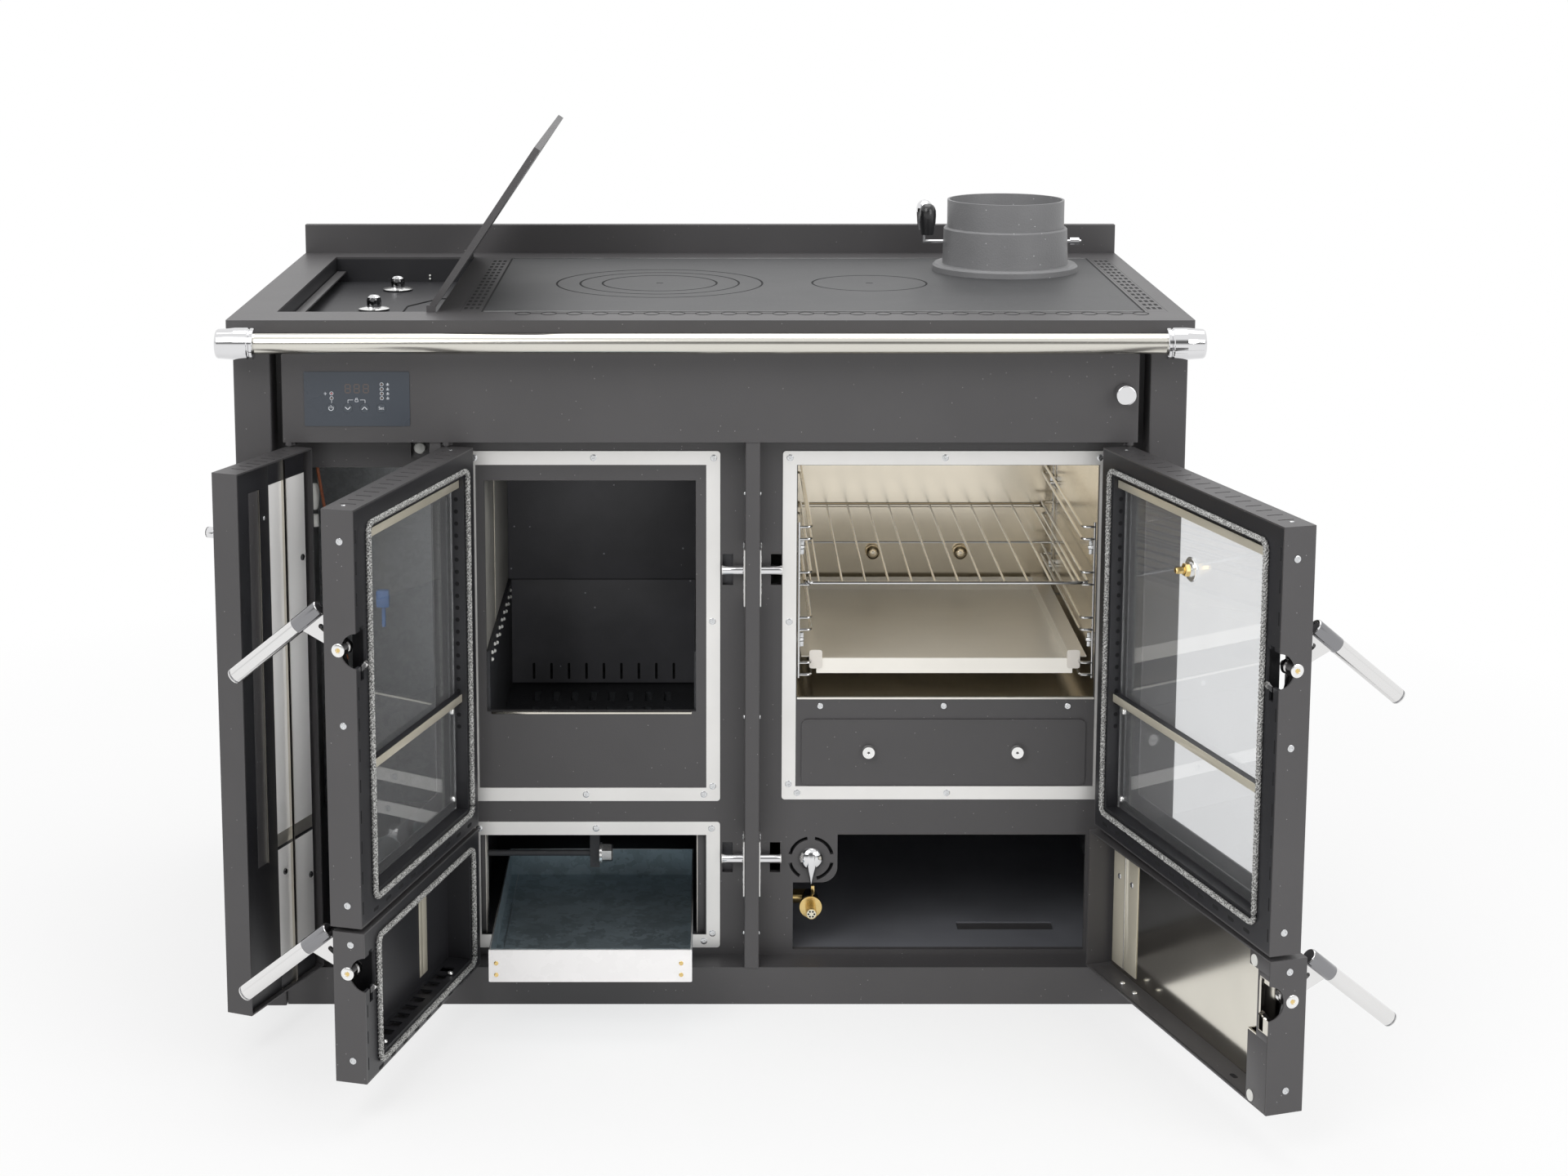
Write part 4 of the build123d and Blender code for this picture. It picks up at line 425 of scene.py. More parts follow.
def rounded(corners: Sequence[Pair], radius: float, steps: int = 4) -> list[Pair]:
    """An outline with its corners replaced by arcs.

    Args:
        corners: Corners in order round the outline.
        radius: Distance from each corner to the ends of its arc.
        steps: Pieces of each arc.

    Returns:
        The points of the new outline.
    """
    points = []
    for n, corner in enumerate(corners):
        here = Vector(corner)
        before, after = Vector(corners[n - 1]), Vector(corners[(n + 1) % len(corners)])
        reach = min(radius, (before - here).length * 0.45, (after - here).length * 0.45)
        start = here + (before - here).normalized() * reach
        end = here + (after - here).normalized() * reach
        for k in range(steps + 1):
            t = k / steps
            points.append(tuple((1 - t) ** 2 * start + 2 * t * (1 - t) * here + t * t * end))
    return points


def spaced(start: float, end: float, count: int) -> list[float]:
    """Evenly spaced values from start to end."""
    return [start + (end - start) * n / (count - 1) for n in range(count)]


class Shape:
    """A mesh under construction, in millimetres."""

    def __init__(self) -> None:
        """Start an empty mesh."""
        self.mesh = bmesh.new()

    def box(self, low: Xyz, high: Xyz, bevel: float = 0.0) -> "Shape":
        """Add a box between two corners, with its edges eased by a bevel."""
        middle = (Vector(low) + Vector(high)) / 2
        size = Vector(high) - Vector(low)
        made = bmesh.ops.create_cube(self.mesh, matrix=Matrix.LocRotScale(middle, None, size))
        if bevel:
            edges = list({e for v in made["verts"] for e in v.link_edges})
            bmesh.ops.bevel(self.mesh, geom=edges, offset=bevel, segments=2, profile=0.5, affect="EDGES")
        return self

    def loop(self, points: Iterable[Vector]) -> list[Vert]:
        """Add a row of vertices."""
        return [self.mesh.verts.new(p) for p in points]

    def skin(self, rows: Sequence[list[Vert]], ring: bool = False) -> "Shape":
        """Join closed rows of the same length with faces.

        Args:
            rows: Rows of vertices in order.
            ring: The last row joins the first. Without it both ends are capped.

        Returns:
            This shape.
        """
        count = len(rows[0])
        for low, high in list(zip(rows, rows[1:])) + ([(rows[-1], rows[0])] if ring else []):
            for n in range(count):
                m = (n + 1) % count
                self.mesh.faces.new((low[n], low[m], high[m], high[n]))
        if not ring:
            self.mesh.faces.new(rows[0])
            self.mesh.faces.new(rows[-1])
        return self

    def lathe(self, profile: Sequence[tuple[float, ...]], place: Matrix = STILL, sides: int = 32) -> "Shape":
        """Add a turned form about the local Z axis, moved to a place.

        Args:
            profile: Radius and height of each ring, with the depth of its flutes if it has any.
            place: Move for the form.
            sides: Points round each ring.

        Returns:
            This shape.
        """
        return self.skin([self.loop(place @ p for p in circle(sides, *ring)) for ring in profile])

    def annulus(self, inner: float, outer: float, height: float, place: Matrix, sides: int = 96) -> "Shape":
        """Add a flat ring that stands on the local XY plane."""
        profile = ((inner, 0.0), (outer, 0.0), (outer, height), (inner, height))
        return self.skin([self.loop(place @ p for p in circle(sides, *ring)) for ring in profile], ring=True)

    def loft(self, sections: Sequence[Sequence[Xyz]], place: Matrix) -> "Shape":
        """Add a capped skin over closed sections that follow each other."""
        return self.skin([self.loop(place @ Vector(p) for p in section) for section in sections])

    def prism(self, outline: Sequence[Pair], depth: float, place: Matrix) -> "Shape":
        """Add a flat plate: an outline in the local XY plane raised by a depth along Z."""
        return self.loft([[(x, y, z) for x, y in outline] for z in (0.0, depth)], place)

    def tube(self, points: Sequence[Xyz], radius: float, place: Matrix, sides: int = 12) -> "Shape":
        """Add a round bar along a line of points."""
        path = [place @ Vector(p) for p in points]
        rows = []
        side = None
        for n, point in enumerate(path):
            ahead = path[min(n + 1, len(path) - 1)] - path[max(n - 1, 0)]
            ahead.normalize()
            guess = side
            if guess is None:
                guess = Vector(UP) if abs(ahead.z) < 0.9 else Vector(ACROSS)
            side = (guess - ahead * guess.dot(ahead)).normalized()
            frame = Matrix((side, ahead.cross(side), ahead)).transposed()
            rows.append(self.loop(point + frame @ p for p in circle(sides, radius, 0.0)))
        return self.skin(rows)

    def mesh_data(self, name: str, place: Matrix = STILL) -> Mesh:
        """Close the shape and write it as a mesh in metres with its faces outwards."""
        bmesh.ops.remove_doubles(self.mesh, verts=self.mesh.verts, dist=WELD)
        bmesh.ops.recalc_face_normals(self.mesh, faces=self.mesh.faces)
        self.mesh.transform(place)
        self.mesh.transform(Matrix.Scale(MM, 4))
        data = bpy.data.meshes.new(name)
        self.mesh.to_mesh(data)
        self.mesh.free()
        return data


def link(name: str, data: object) -> Thing:
    """Put an object with its data in the scene."""
    thing = bpy.data.objects.new(name, data)
    bpy.context.scene.collection.objects.link(thing)
    return thing


def publish(name: str, data: Mesh, finish: Surface, body: str, replaces: Sequence[str] = (),
            smooth: float = 35.0) -> None:
    """Put a finished mesh in the scene, give it its finish and let it ride on its body.

    Args:
        name: Name of the piece.
        data: Mesh in metres.
        finish: Surface of the piece.
        body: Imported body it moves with.
        replaces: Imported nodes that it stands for.
        smooth: Largest angle between faces that still looks smooth, in degrees.
    """
    piece = link(name, data)
    if not data.materials:
        data.materials.append(finish.material())
    data.shade_smooth()
    data.set_sharp_from_angle(angle=radians(smooth))
    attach(piece, body)
    for node in replaces:
        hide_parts(node)
    LOG.info("%s on %s, %d faces", name, body, len(data.polygons))


class GeometryTree:
    """A geometry node group with named inputs."""

    def __init__(self, name: str, inputs: dict[str, str]) -> None:
        """Start an empty group.

        Args:
            name: Name of the group.
            inputs: Kind of each named input, such as Float, Int or Object.
        """
        self.group = bpy.data.node_groups.new(name, "GeometryNodeTree")
        for label, kind in {"Geometry": "Geometry", **inputs, "Material": "Material"}.items():
            self.group.interface.new_socket(label, in_out="INPUT", socket_type="NodeSocket" + kind)
        self.group.interface.new_socket("Geometry", in_out="OUTPUT", socket_type="NodeSocketGeometry")
        self.value = self.group.nodes.new("NodeGroupInput").outputs
        self.sink = self.group.nodes.new("NodeGroupOutput")

    def add(self, kind: str, inputs: dict[str | int, object] | None = None, output: int | str = 0,
            **values: object) -> Socket:
        """Add a node by its type name, with properties and inputs, and return one output."""
        node = self.group.nodes.new(kind)
        for key, value in values.items():
            setattr(node, key, value)
        for key, value in (inputs or {}).items():
            if isinstance(value, Socket):
                self.group.links.new(value, node.inputs[key])
            else:
                node.inputs[key].default_value = value
        return node.outputs[output]

    def close(self, geometry: Socket) -> None:
        """End the group in Realize Instances and Set Material."""
        real = self.add("GeometryNodeRealizeInstances", {0: geometry})
        done = self.add("GeometryNodeSetMaterial", {"Geometry": real, "Material": self.value["Material"]})
        self.group.links.new(done, self.sink.inputs[0])

    def run(self, data: Mesh, inputs: dict[str, object]) -> Mesh:
        """Run the group on a mesh and return the result as a plain mesh.

        Args:
            data: Source mesh in metres.
            inputs: Values of the named inputs.

        Returns:
            The evaluated mesh.
        """
        carrier = link("carrier", data)
        modifier = carrier.modifiers.new("tree", "NODES")
        modifier.node_group = self.group
        for item in self.group.interface.items_tree:
            if item.in_out == "INPUT" and item.name in inputs:
                modifier[item.identifier] = inputs[item.name]
        graph = bpy.context.evaluated_depsgraph_get()
        made = bpy.data.meshes.new_from_object(carrier.evaluated_get(graph), depsgraph=graph)
        carrier.modifiers.clear()
        bpy.data.objects.remove(carrier)
        return made


@dataclass(frozen=True)
class Spot:
    """Where a small part sits: its point, the way it faces, and the way its length runs."""

    point: Xyz
    facing: Xyz
    along: Xyz = UP

    def moved(self, place: Matrix) -> "Spot":
        """The spot carried by a move."""
        rotation = place.to_3x3()
        return Spot(tuple(place @ Vector(self.point)), tuple(rotation @ Vector(self.facing)),
                    tuple(rotation @ Vector(self.along)))


class Scatter:
    """Sets copies of one small part on spots, by a geometry node tree."""

    def __init__(self) -> None:
        """Build the tree."""
        inputs = {"Part": "Object", "Size": "Float", "Spin": "Float", "Seed": "Int"}
        self.tree = tree = GeometryTree("scatter", inputs)
        value = tree.value
        facing, along = (tree.add("GeometryNodeInputNamedAttribute", {"Name": name},
                                  data_type="FLOAT_VECTOR") for name in ("facing", "along"))
        axes = tree.add("FunctionNodeAxesToRotation", {0: facing, 1: along}, primary_axis="Z",
                        secondary_axis="X")
        part = tree.add("GeometryNodeObjectInfo", {"Object": value["Part"]}, "Geometry")
        chance = tree.add("FunctionNodeRandomValue", {"Seed": value["Seed"], 2: -pi, 3: pi}, 1,
                          data_type="FLOAT")
        angle = tree.add("ShaderNodeMath", {0: chance, 1: value["Spin"]}, operation="MULTIPLY")
        turned = tree.add("FunctionNodeAxisAngleToRotation", {"Axis": UP, "Angle": angle})
        both = tree.add("FunctionNodeRotateRotation", {0: axes, 1: turned}, rotation_space="LOCAL")
        size = tree.add("ShaderNodeCombineXYZ", {n: value["Size"] for n in range(3)})
        copies = {"Points": value["Geometry"], "Instance": part, "Rotation": both, "Scale": size}
        tree.close(tree.add("GeometryNodeInstanceOnPoints", copies))

    def place(self, name: str, spots: Sequence[Spot], part: Mesh, finish: Surface, body: str,
              spin: bool = False) -> None:
        """Publish the copies as one piece.

        Args:
            name: Name of the piece.
            spots: Where the copies go, in millimetres.
            part: Mesh of one part in metres, standing on the XY plane and facing +Z.
            finish: Surface of the copies.
            body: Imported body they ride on.
            spin: Turn each copy by a fixed random angle.
        """
        points = bpy.data.meshes.new("spots")
        points.from_pydata([tuple(Vector(s.point) * MM) for s in spots], [], [])
        for key in ("facing", "along"):
            layer = points.attributes.new(key, "FLOAT_VECTOR", "POINT")
            for n, spot in enumerate(spots):
                layer.data[n].vector = Vector(getattr(spot, key)).normalized()
        holder = link("part", part)
        made = self.tree.run(points, {"Part": holder, "Size": 1.0, "Spin": float(spin),
                                      "Seed": SCATTER_SEED, "Material": finish.material()})
        bpy.data.objects.remove(holder)
        publish(name, made, finish, body)


class WireWork:
    """Bent round wire along lines of points, by a geometry node tree."""

    def __init__(self) -> None:
        """Build the tree."""
        self.tree = tree = GeometryTree("wire_work", {"Radius": "Float", "Bend": "Float", "Sides": "Int"})
        value = tree.value
        line = tree.add("GeometryNodeMeshToCurve", {"Mesh": value["Geometry"]})
        corners = {"Curve": line, "Radius": value["Bend"], "Limit Radius": True, "Count": BEND_STEPS}
        bent = tree.add("GeometryNodeFilletCurve", corners, mode="POLY")
        section = tree.add("GeometryNodeCurvePrimitiveCircle",
                           {"Resolution": value["Sides"], "Radius": value["Radius"]})
        swept = {"Curve": bent, "Profile Curve": section, "Fill Caps": True}
        tree.close(tree.add("GeometryNodeCurveToMesh", swept))

    def bend(self, name: str, lines: Sequence[Sequence[Xyz]], radius: float, bend: float, finish: Surface,
             body: str, replaces: Sequence[str] = (), sides: int = 10) -> None:
        """Publish the wires as one piece.

        Args:
            name: Name of the piece.
            lines: Lines of points in millimetres.
            radius: Radius of the wire.
            bend: Radius of its bends.
            finish: Surface of the wire.
            body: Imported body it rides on.
            replaces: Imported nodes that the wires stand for.
            sides: Sides of the wire's section.
        """
        points, edges = [], []
        for line in lines:
            start = len(points)
            points += [tuple(Vector(p) * MM) for p in line]
            edges += [(n, n + 1) for n in range(start, len(points) - 1)]
        data = bpy.data.meshes.new("lines")
        data.from_pydata(points, edges, [])
        made = self.tree.run(data, {"Radius": radius * MM, "Bend": bend * MM, "Sides": sides,
                                    "Material": finish.material()})
        publish(name, made, finish, body, replaces)


class RopeWork:
    """A seal of braided rope round a closed line, by a geometry node tree."""

    def __init__(self) -> None:
        """Build the tree: an eased ring, and a lobed profile that turns along it."""
        self.tree = tree = GeometryTree("rope_work", dict.fromkeys(("Width", "Corner", "Lay", "Step"),
                                                                   "Float"))
        value = tree.value
        line = tree.add("GeometryNodeMeshToCurve", {"Mesh": value["Geometry"]})
        corners = {"Curve": line, "Radius": value["Corner"], "Limit Radius": True, "Count": BEND_STEPS}
        eased = tree.add("GeometryNodeFilletCurve", corners, mode="POLY")
        fine = tree.add("GeometryNodeResampleCurve", {"Curve": eased, "Length": value["Step"]}, mode="LENGTH")
        run_length = tree.add("GeometryNodeSplineParameter", None, "Length")
        turns = tree.add("ShaderNodeMath", {0: run_length, 1: value["Lay"]}, operation="DIVIDE")
        spun = tree.add("ShaderNodeMath", {0: turns, 1: 2 * pi}, operation="MULTIPLY")
        tilted = tree.add("GeometryNodeSetCurveTilt", {"Curve": fine, "Tilt": spun})
        inner = tree.add("ShaderNodeMath", {0: value["Width"], 1: ROPE_INNER}, operation="MULTIPLY")
        star = {"Points": ROPE_LOBES, "Outer Radius": value["Width"], "Inner Radius": inner, "Twist": 0.0}
        lobes = tree.add("GeometryNodeCurveStar", star)
        swept = {"Curve": tilted, "Profile Curve": lobes, "Fill Caps": True}
        tree.close(tree.add("GeometryNodeCurveToMesh", swept))

    def lay(self, name: str, ring: Sequence[Xyz], width: float, corner: float, body: str, place: Matrix,
            replaces: Sequence[str]) -> None:
        """Publish a closed rope as one piece.

        Args:
            name: Name of the piece.
            ring: Corners in millimetres, in order round the ring.
            width: Radius of the rope.
            corner: Radius of the bends.
            body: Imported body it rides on.
            place: Move for all corners.
            replaces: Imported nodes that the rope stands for.
        """
        points = [tuple((place @ Vector(p)) * MM) for p in ring]
        data = bpy.data.meshes.new("ring")
        data.from_pydata(points, [(n, (n + 1) % len(points)) for n in range(len(points))], [])
        made = self.tree.run(data, {"Width": width * MM, "Corner": corner * MM, "Lay": ROPE_LAY * MM,
                                    "Step": ROPE_STEP * MM, "Material": ROPE.material()})
        publish(name, made, ROPE, body, replaces, ROPE_SMOOTH)


@dataclass(frozen=True)
class Fastener:
    """A screw or rivet head that stands on the XY plane and faces +Z."""

    kind: Head
    radius: float
    height: float

    def mesh(self) -> Mesh:
        """The head's mesh in metres."""
        shape = Shape()
        r, h = self.radius, self.height
        profile = [(0.0, -0.2), (r, -0.2), (r, 0.25 * h), (0.92 * r, 0.6 * h), (0.7 * r, 0.88 * h),
                   (0.42 * r, h)]
        if self.kind is Head.RIVET:
            shape.lathe([*profile, (0.2 * r, 1.05 * h), (0.0, 1.06 * h)], STILL, 14)
        elif self.kind is Head.SOCKET:
            shape.lathe([(0.0, -0.2), (r, -0.2), (r, 0.75 * h), (0.88 * r, h), (0.5 * r, h),
                         (0.45 * r, 0.3 * h), (0.0, 0.3 * h)], STILL, 18)
        else:
            shape.lathe([*profile, (0.3 * r, h), (0.24 * r, 0.45 * h), (0.0, 0.35 * h)], STILL, 14)
            wing = [(0.22 * r, -0.09 * r), (0.6 * r, -0.05 * r), (0.6 * r, 0.05 * r), (0.22 * r, 0.09 * r)]
            for quarter in range(4):
                shape.prism(wing, 0.47 * h, at(0, 0, 0.55 * h) @ turn(90.0 * quarter, "Z"))
        return shape.mesh_data(self.kind.value)


def tablet(length: float, width: float, height: float) -> Mesh:
    """A thin oblong with round ends along X, facing +Z."""
    half, r = length / 2 - width / 2, width / 2
    angles = [(centre, radians(start + 30.0 * n)) for centre, start in ((half, -90.0), (-half, 90.0))
              for n in range(7)]
    outline = [(centre + r * cos(angle), r * sin(angle)) for centre, angle in angles]
    return Shape().prism(outline, height, at(0, 0, -SUNK)).mesh_data("tablet")


def rectangle(length: float, width: float, height: float) -> Mesh:
    """A thin plate along X, facing +Z."""
    return Shape().box((-length / 2, -width / 2, -SUNK), (length / 2, width / 2, height)).mesh_data("plate")


def disc(radius: float, height: float, sides: int) -> Mesh:
    """A thin round plate facing +Z, with an eased rim."""
    profile = [(0.0, -SUNK), (radius, -SUNK), (radius, 0.6 * height), (0.93 * radius, height), (0.0, height)]
    return Shape().lathe(profile, STILL, sides).mesh_data("disc")


def outline_ring(outline: Sequence[Pair], width: float, depth: float, height: float) -> Mesh:
    """A narrow band that follows a closed outline round the origin, facing +Z."""
    shape = Shape()
    half_x, half_y = (max(abs(point[n]) for point in outline) for n in range(2))
    inside = [(x * (1 - width / half_x), y * (1 - depth / half_y)) for x, y in outline]
    rows = [shape.loop(Vector((x, y, z)) for x, y in points)
            for points, z in ((outline, -SUNK), (outline, height), (inside, height), (inside, -SUNK))]
    return shape.skin(rows, ring=True).mesh_data("band")


@dataclass(frozen=True)
class Leaf:
    """A door leaf as packed: drawn shut and turned to its open pose."""

    name: str
    hinge_x: float
    free_x: float
    bottom: float
    top: float
    depth: float
    opened: float
    latch_z: float = 0.0

    @property
    def side(self) -> int:
        """+1 where the hinge is on the left."""
        return 1 if self.free_x > self.hinge_x else -1

    @property
    def back(self) -> float:
        """Y of the shut leaf's back."""
        return CASING_FRONT + self.depth

    def swing(self) -> Matrix:
        """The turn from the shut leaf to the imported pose."""
        pivot = (self.hinge_x + self.side * HINGE_INSET, CASING_FRONT + HINGE_INSET, 0.0)
        return turn(-self.side * self.opened, "Z", pivot)

    def lift(self) -> Matrix:
        """The turn of the raised handle, then of the leaf."""
        return self.swing() @ turn(-HANDLE_LIFT, "X", (0.0, CASING_FRONT + PIVOT_DEPTH, self.latch_z))

    def from_hinge(self, distance: float) -> float:
        """X at a distance from the hinge edge."""
        return self.hinge_x + self.side * distance

    def from_free(self, distance: float) -> float:
        """X at a distance from the free edge."""
        return self.free_x - self.side * distance

    def spots(self, places: Iterable[Xyz], facing: Xyz, along: Xyz = UP) -> list[Spot]:
        """Spots drawn on the shut leaf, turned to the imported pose."""
        return [Spot(p, facing, along).moved(self.swing()) for p in places]

    def plates(self, areas: Iterable[Area], front: float, back: float, bevel: float) -> Shape:
        """Thin plates on the shut leaf.

        Args:
            areas: For each plate two distances from the hinge edge, then two heights.
            front: Y of the plates' front.
            back: Y of their back.
            bevel: Width of their eased edges.

        Returns:
            All plates as one shape.
        """
        shape = Shape()
        for near, far, low, high in areas:
            shape.box((self.from_hinge(near), front, low), (self.from_hinge(far), back, high), bevel)
        return shape


LEFT = Leaf("left_door", -509.0, -340.0, 54.0, 705.0, 33.0, 112.0)
FIRE = Leaf("fire_door", -321.0, 38.4, 234.5, 705.0, 37.0, 106.0, 549.0)
ASH = Leaf("ash_door", -321.0, 38.4, 54.0, 229.0, 37.0, 105.6, 181.0)
OVEN = Leaf("oven_door", 507.0, 63.6, 234.5, 705.0, 37.0, 106.7, 549.0)
STORE = Leaf("storage_door", 507.0, 63.6, 54.0, 229.0, 44.0, 107.8, 181.0)

FIRE_TRIM: Area = (-303.0, 12.0, 249.0, 691.5)
OVEN_TRIM: Area = (88.3, 491.0, 251.0, 691.5)
ASH_TRIM: Area = (-303.0, 12.0, 58.0, 222.0)


@dataclass
class Kit:
    """Node trees that the sub-assemblies share."""

    scatter: Scatter = field(default_factory=Scatter)
    wires: WireWork = field(default_factory=WireWork)
    ropes: RopeWork = field(default_factory=RopeWork)


@dataclass
class SubAssembly:
    """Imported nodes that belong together, with the pieces that are added to them."""

    kit: Kit
    nodes: dict[str, Thing]

    def finishes(self) -> Surfaces:
        """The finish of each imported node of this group."""
        return {}

    def build(self) -> None:
        """Add the pieces."""

    def dress(self) -> None:
        """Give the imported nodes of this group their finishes."""
        for name, finish in self.finishes().items():
            node = self.nodes[name]
            node.data.materials.clear()
            node.data.materials.append(finish.material())

    def make(self, name: str, shape: Shape, finish: Surface, body: str = "stove",
             replaces: Sequence[str] = ()) -> None:
        """Publish a shape that is drawn in millimetres."""
        publish(name, shape.mesh_data(name), finish, body, replaces)

    def scatter(self, name: str, spots: Sequence[Spot], part: Mesh, finish: Surface, body: str = "stove",
                spin: bool = False) -> None:
        """Publish copies of a small part."""
        self.kit.scatter.place(name, spots, part, finish, body, spin)


@dataclass
class Casing(SubAssembly):
    """Outer sheets, front wall, fascia and divider."""

    frame_screws: tuple[Pair, ...] = ((-287.5, 683.3), (-142.0, 683.3), (4.0, 683.0), (2.6, 478.6),
                                      (3.0, 268.0), (-8.0, 257.5), (-154.0, 257.5), (-287.5, 213.5),
                                      (-142.0, 213.5), (1.5, 213.5), (2.6, 76.5), (-8.0, 66.3),
                                      (97.0, 683.3), (285.7, 683.3), (474.0, 683.3), (96.8, 478.0),
                                      (96.8, 271.0), (107.5, 259.6), (293.0, 259.6), (482.0, 259.6))
    divider_screws: tuple[float, ...] = (644.0, 364.0, 86.0)
    divider_walls: tuple[Pair, ...] = ((42.0, -1.0), (60.0, 1.0))

    def finishes(self) -> Surfaces:
        """Painted sheets, stainless frames, chromed rods."""
        return {"base_frame": CASING, "side_panels": CASING, "back_panel": GALVANISED,
                "front_fascia": CASING, "bypass_rod": CHROME, "front_plate": CASING,
                "divider_posts": CASING, "opening_frames": TRIM, "striker_plates": TRIM,
                "hinge_brackets": CASING, "storage_box": BOX_PAINT, "inspection_cover": CASING}

    def build(self) -> None:
        """Screws, rivets, strikers and painted shade in the passage behind the draft knob."""
        spots = [Spot((x, TRIM_FACE, z), FRONT_FACING) for x, z in self.frame_screws]
        self.scatter("frame_screws", spots, Fastener(Head.CROSS, 4.2, 0.6).mesh(), ZINC_SCREW, spin=True)
        spots = [Spot((x, FRAME_FACE, 370.7), FRONT_FACING) for x in (135.5, 288.0, 441.0)]
        self.scatter("front_rivets", spots, Fastener(Head.SOCKET, 3.9, 1.6).mesh(), ZINC_SCREW)
        spots = [Spot((x, -300.0, z), (side, 0.0, 0.0)) for x, side in self.divider_walls
                 for z in self.divider_screws]
        self.scatter("divider_screws", spots, Fastener(Head.RIVET, 2.8, 2.0).mesh(), ZINC_SCREW)
        self.thumb_screws()
        self.strikers()
        # A flat black ring behind the knob's slots: painted shade of the passage.
        passage = Shape().lathe([(23.0, 0.0), (30.5, 0.0), (30.5, 1.0), (23.0, 1.0)],
                                at(125.5, FRAME_BACK + 1.2, 173.8) @ turn(90.0, "X"), 40)
        self.make("draft_passage", passage, SHADOW)

    def thumb_screws(self) -> None:
        """Two bright thumb screws on the cover of the cleaning duct."""
        shape = Shape()
        profile = [(0.0, 0.0), (7.4, 0.0), (8.2, 1.0), (8.2, 6.6), (7.4, 8.1), (2.0, 8.3), (1.4, 7.9),
                   (0.0, 7.9)]
        for x in (195.4, 379.2):
            shape.lathe(profile, at(x, FRAME_FACE - COVER_SHEET, 313.5) @ turn(90.0, "X"), 28)
        self.make("thumb_screws", shape, WHITE_ZINC)

    def strikers(self) -> None:
        """Round-head screws on the striker plates and bright rings on their pins."""
        heads, rings = [], Shape()
        profile = [(0.0, 0.0), (5.9, 0.0), (5.9, 2.4), (5.75, 2.4), (5.75, 25.2), (5.2, 26.6), (0.0, 26.7)]
        for latch_z in (FIRE.latch_z, ASH.latch_z):
            for wall, side in self.divider_walls:
                face = wall + side * 1.5
                heads += [Spot((face, -306.0, latch_z + up), (side, 0.0, 0.0))
                          for up in (32.0, 15.0, -15.0, -25.0)]
                rings.lathe(profile, at(face, FRAME_FACE - 8.5, latch_z - 4.0) @ turn(90.0 * side, "Y"), 28)
        self.scatter("striker_screws", heads, Fastener(Head.RIVET, 4.6, 1.1).mesh(), ZINC_SCREW)
        self.make("striker_pins", rings, CHROME)


@dataclass
class Worktop(SubAssembly):
    """Worktop with cooking plate, vents and the row of links along its front."""

    links: int = 25
    link_y: float = -274.5
    rings: tuple[Pair, ...] = ((-66.0, 134.0), (-66.0, 103.5), (-66.0, 74.5), (207.6, 74.5))
    ring_y: float = -3.0
    plate: Area = (-276.5, 525.5, -260.0, 250.0)

    def finishes(self) -> Surfaces:
        """Painted sheet, cast plates."""
        return {"worktop_frame": CASING, "vent_strips": CASING, "cooking_plate": CAST, "hob_rings": CAST}

    def build(self) -> None:
        """The link row, the grooves and the vents."""
        self.link_row()
        self.grooves()
        self.vents()

    def link_row(self) -> None:
        """Engraved links along the front strip, drawn as flat black marks: painted shade in their grooves."""
        places = spaced(-226.0, 519.0, self.links)
        pitch = places[1] - places[0]
        half_w, half_d, corner = 10.0, 13.6, 4.5
        outline = rounded([(half_w, 4.0), (4.0, half_d), (-4.0, half_d), (-half_w, 4.0), (-half_w, -4.0),
                           (-4.0, -half_d), (4.0, -half_d), (half_w, -4.0)], corner)
        spots = [Spot((x, self.link_y, WORKTOP_TOP), UP, ACROSS) for x in places]
        self.scatter("link_outlines", spots, outline_ring(outline, 1.5, 4.2, MARK), SHADOW)
        spots = [Spot((x + pitch / 2, self.link_y, WORKTOP_TOP), UP, ACROSS) for x in places[:-1]]
        self.scatter("link_joints", spots, rectangle(pitch - 2 * half_w, 4.2, MARK), SHADOW)

    def grooves(self) -> None:
        """Painted shade in the gaps round the cooking plate and its rings, and painted highlight along the
        plate's front and back edges.
        """
        dark, worn = Shape(), Shape()
        # Flat black rings and strips: painted shade in the gaps.
        for x, radius in self.rings:
            dark.annulus(radius - 1.0, radius + 1.3, MARK, at(x, self.ring_y, WORKTOP_TOP))
        left, right, front, back = self.plate
        for x in (left, right):
            dark.box((x - 1.3, front, WORKTOP_TOP), (x + 1.3, back, WORKTOP_TOP + MARK))
        self.make("plate_joints", dark, SHADOW)
        # Lighter strips along the plate's front and back edges: painted highlight.
        for y in (front + 0.6, back - 0.6):
            worn.box((left + 1.4, y - 0.5, WORKTOP_TOP - 0.1), (right - 1.4, y + 0.5, WORKTOP_TOP + 0.9), 0.2)
        self.make("plate_edges", worn, EDGE_HIGHLIGHT)

    def vents(self) -> None:
        """Long slots of the vent strips as flat black marks, with a black sheet below: painted shade in and
        under the slots.
        """
        spots = [Spot((middle + row, y, WORKTOP_TOP), UP, FRONT_FACING) for middle in (-291.5, 542.0)
                 for row in (-7.0, 0.0, 7.0) for y in spaced(-230.0, 220.0, 16)]
        self.scatter("vent_slots", spots, rectangle(15.0, 4.2, 0.1), SHADOW)
        ground = Shape()
        for low, high in ((-303.5, -279.5), (530.0, 554.0)):
            ground.box((low + 2.5, -260.0, WORKTOP_TOP - 6.0), (high - 2.5, 250.0, WORKTOP_TOP - 5.0), 0.2)
        self.make("vent_ground", ground, SHADOW)


@dataclass
class Handrail(SubAssembly):
    """Steel rail between two turned and chromed barrels."""

    def finishes(self) -> Surfaces:
        """Steel and chrome."""
        return {"handrail": RAIL_STEEL, "handrail_brackets": CHROME}


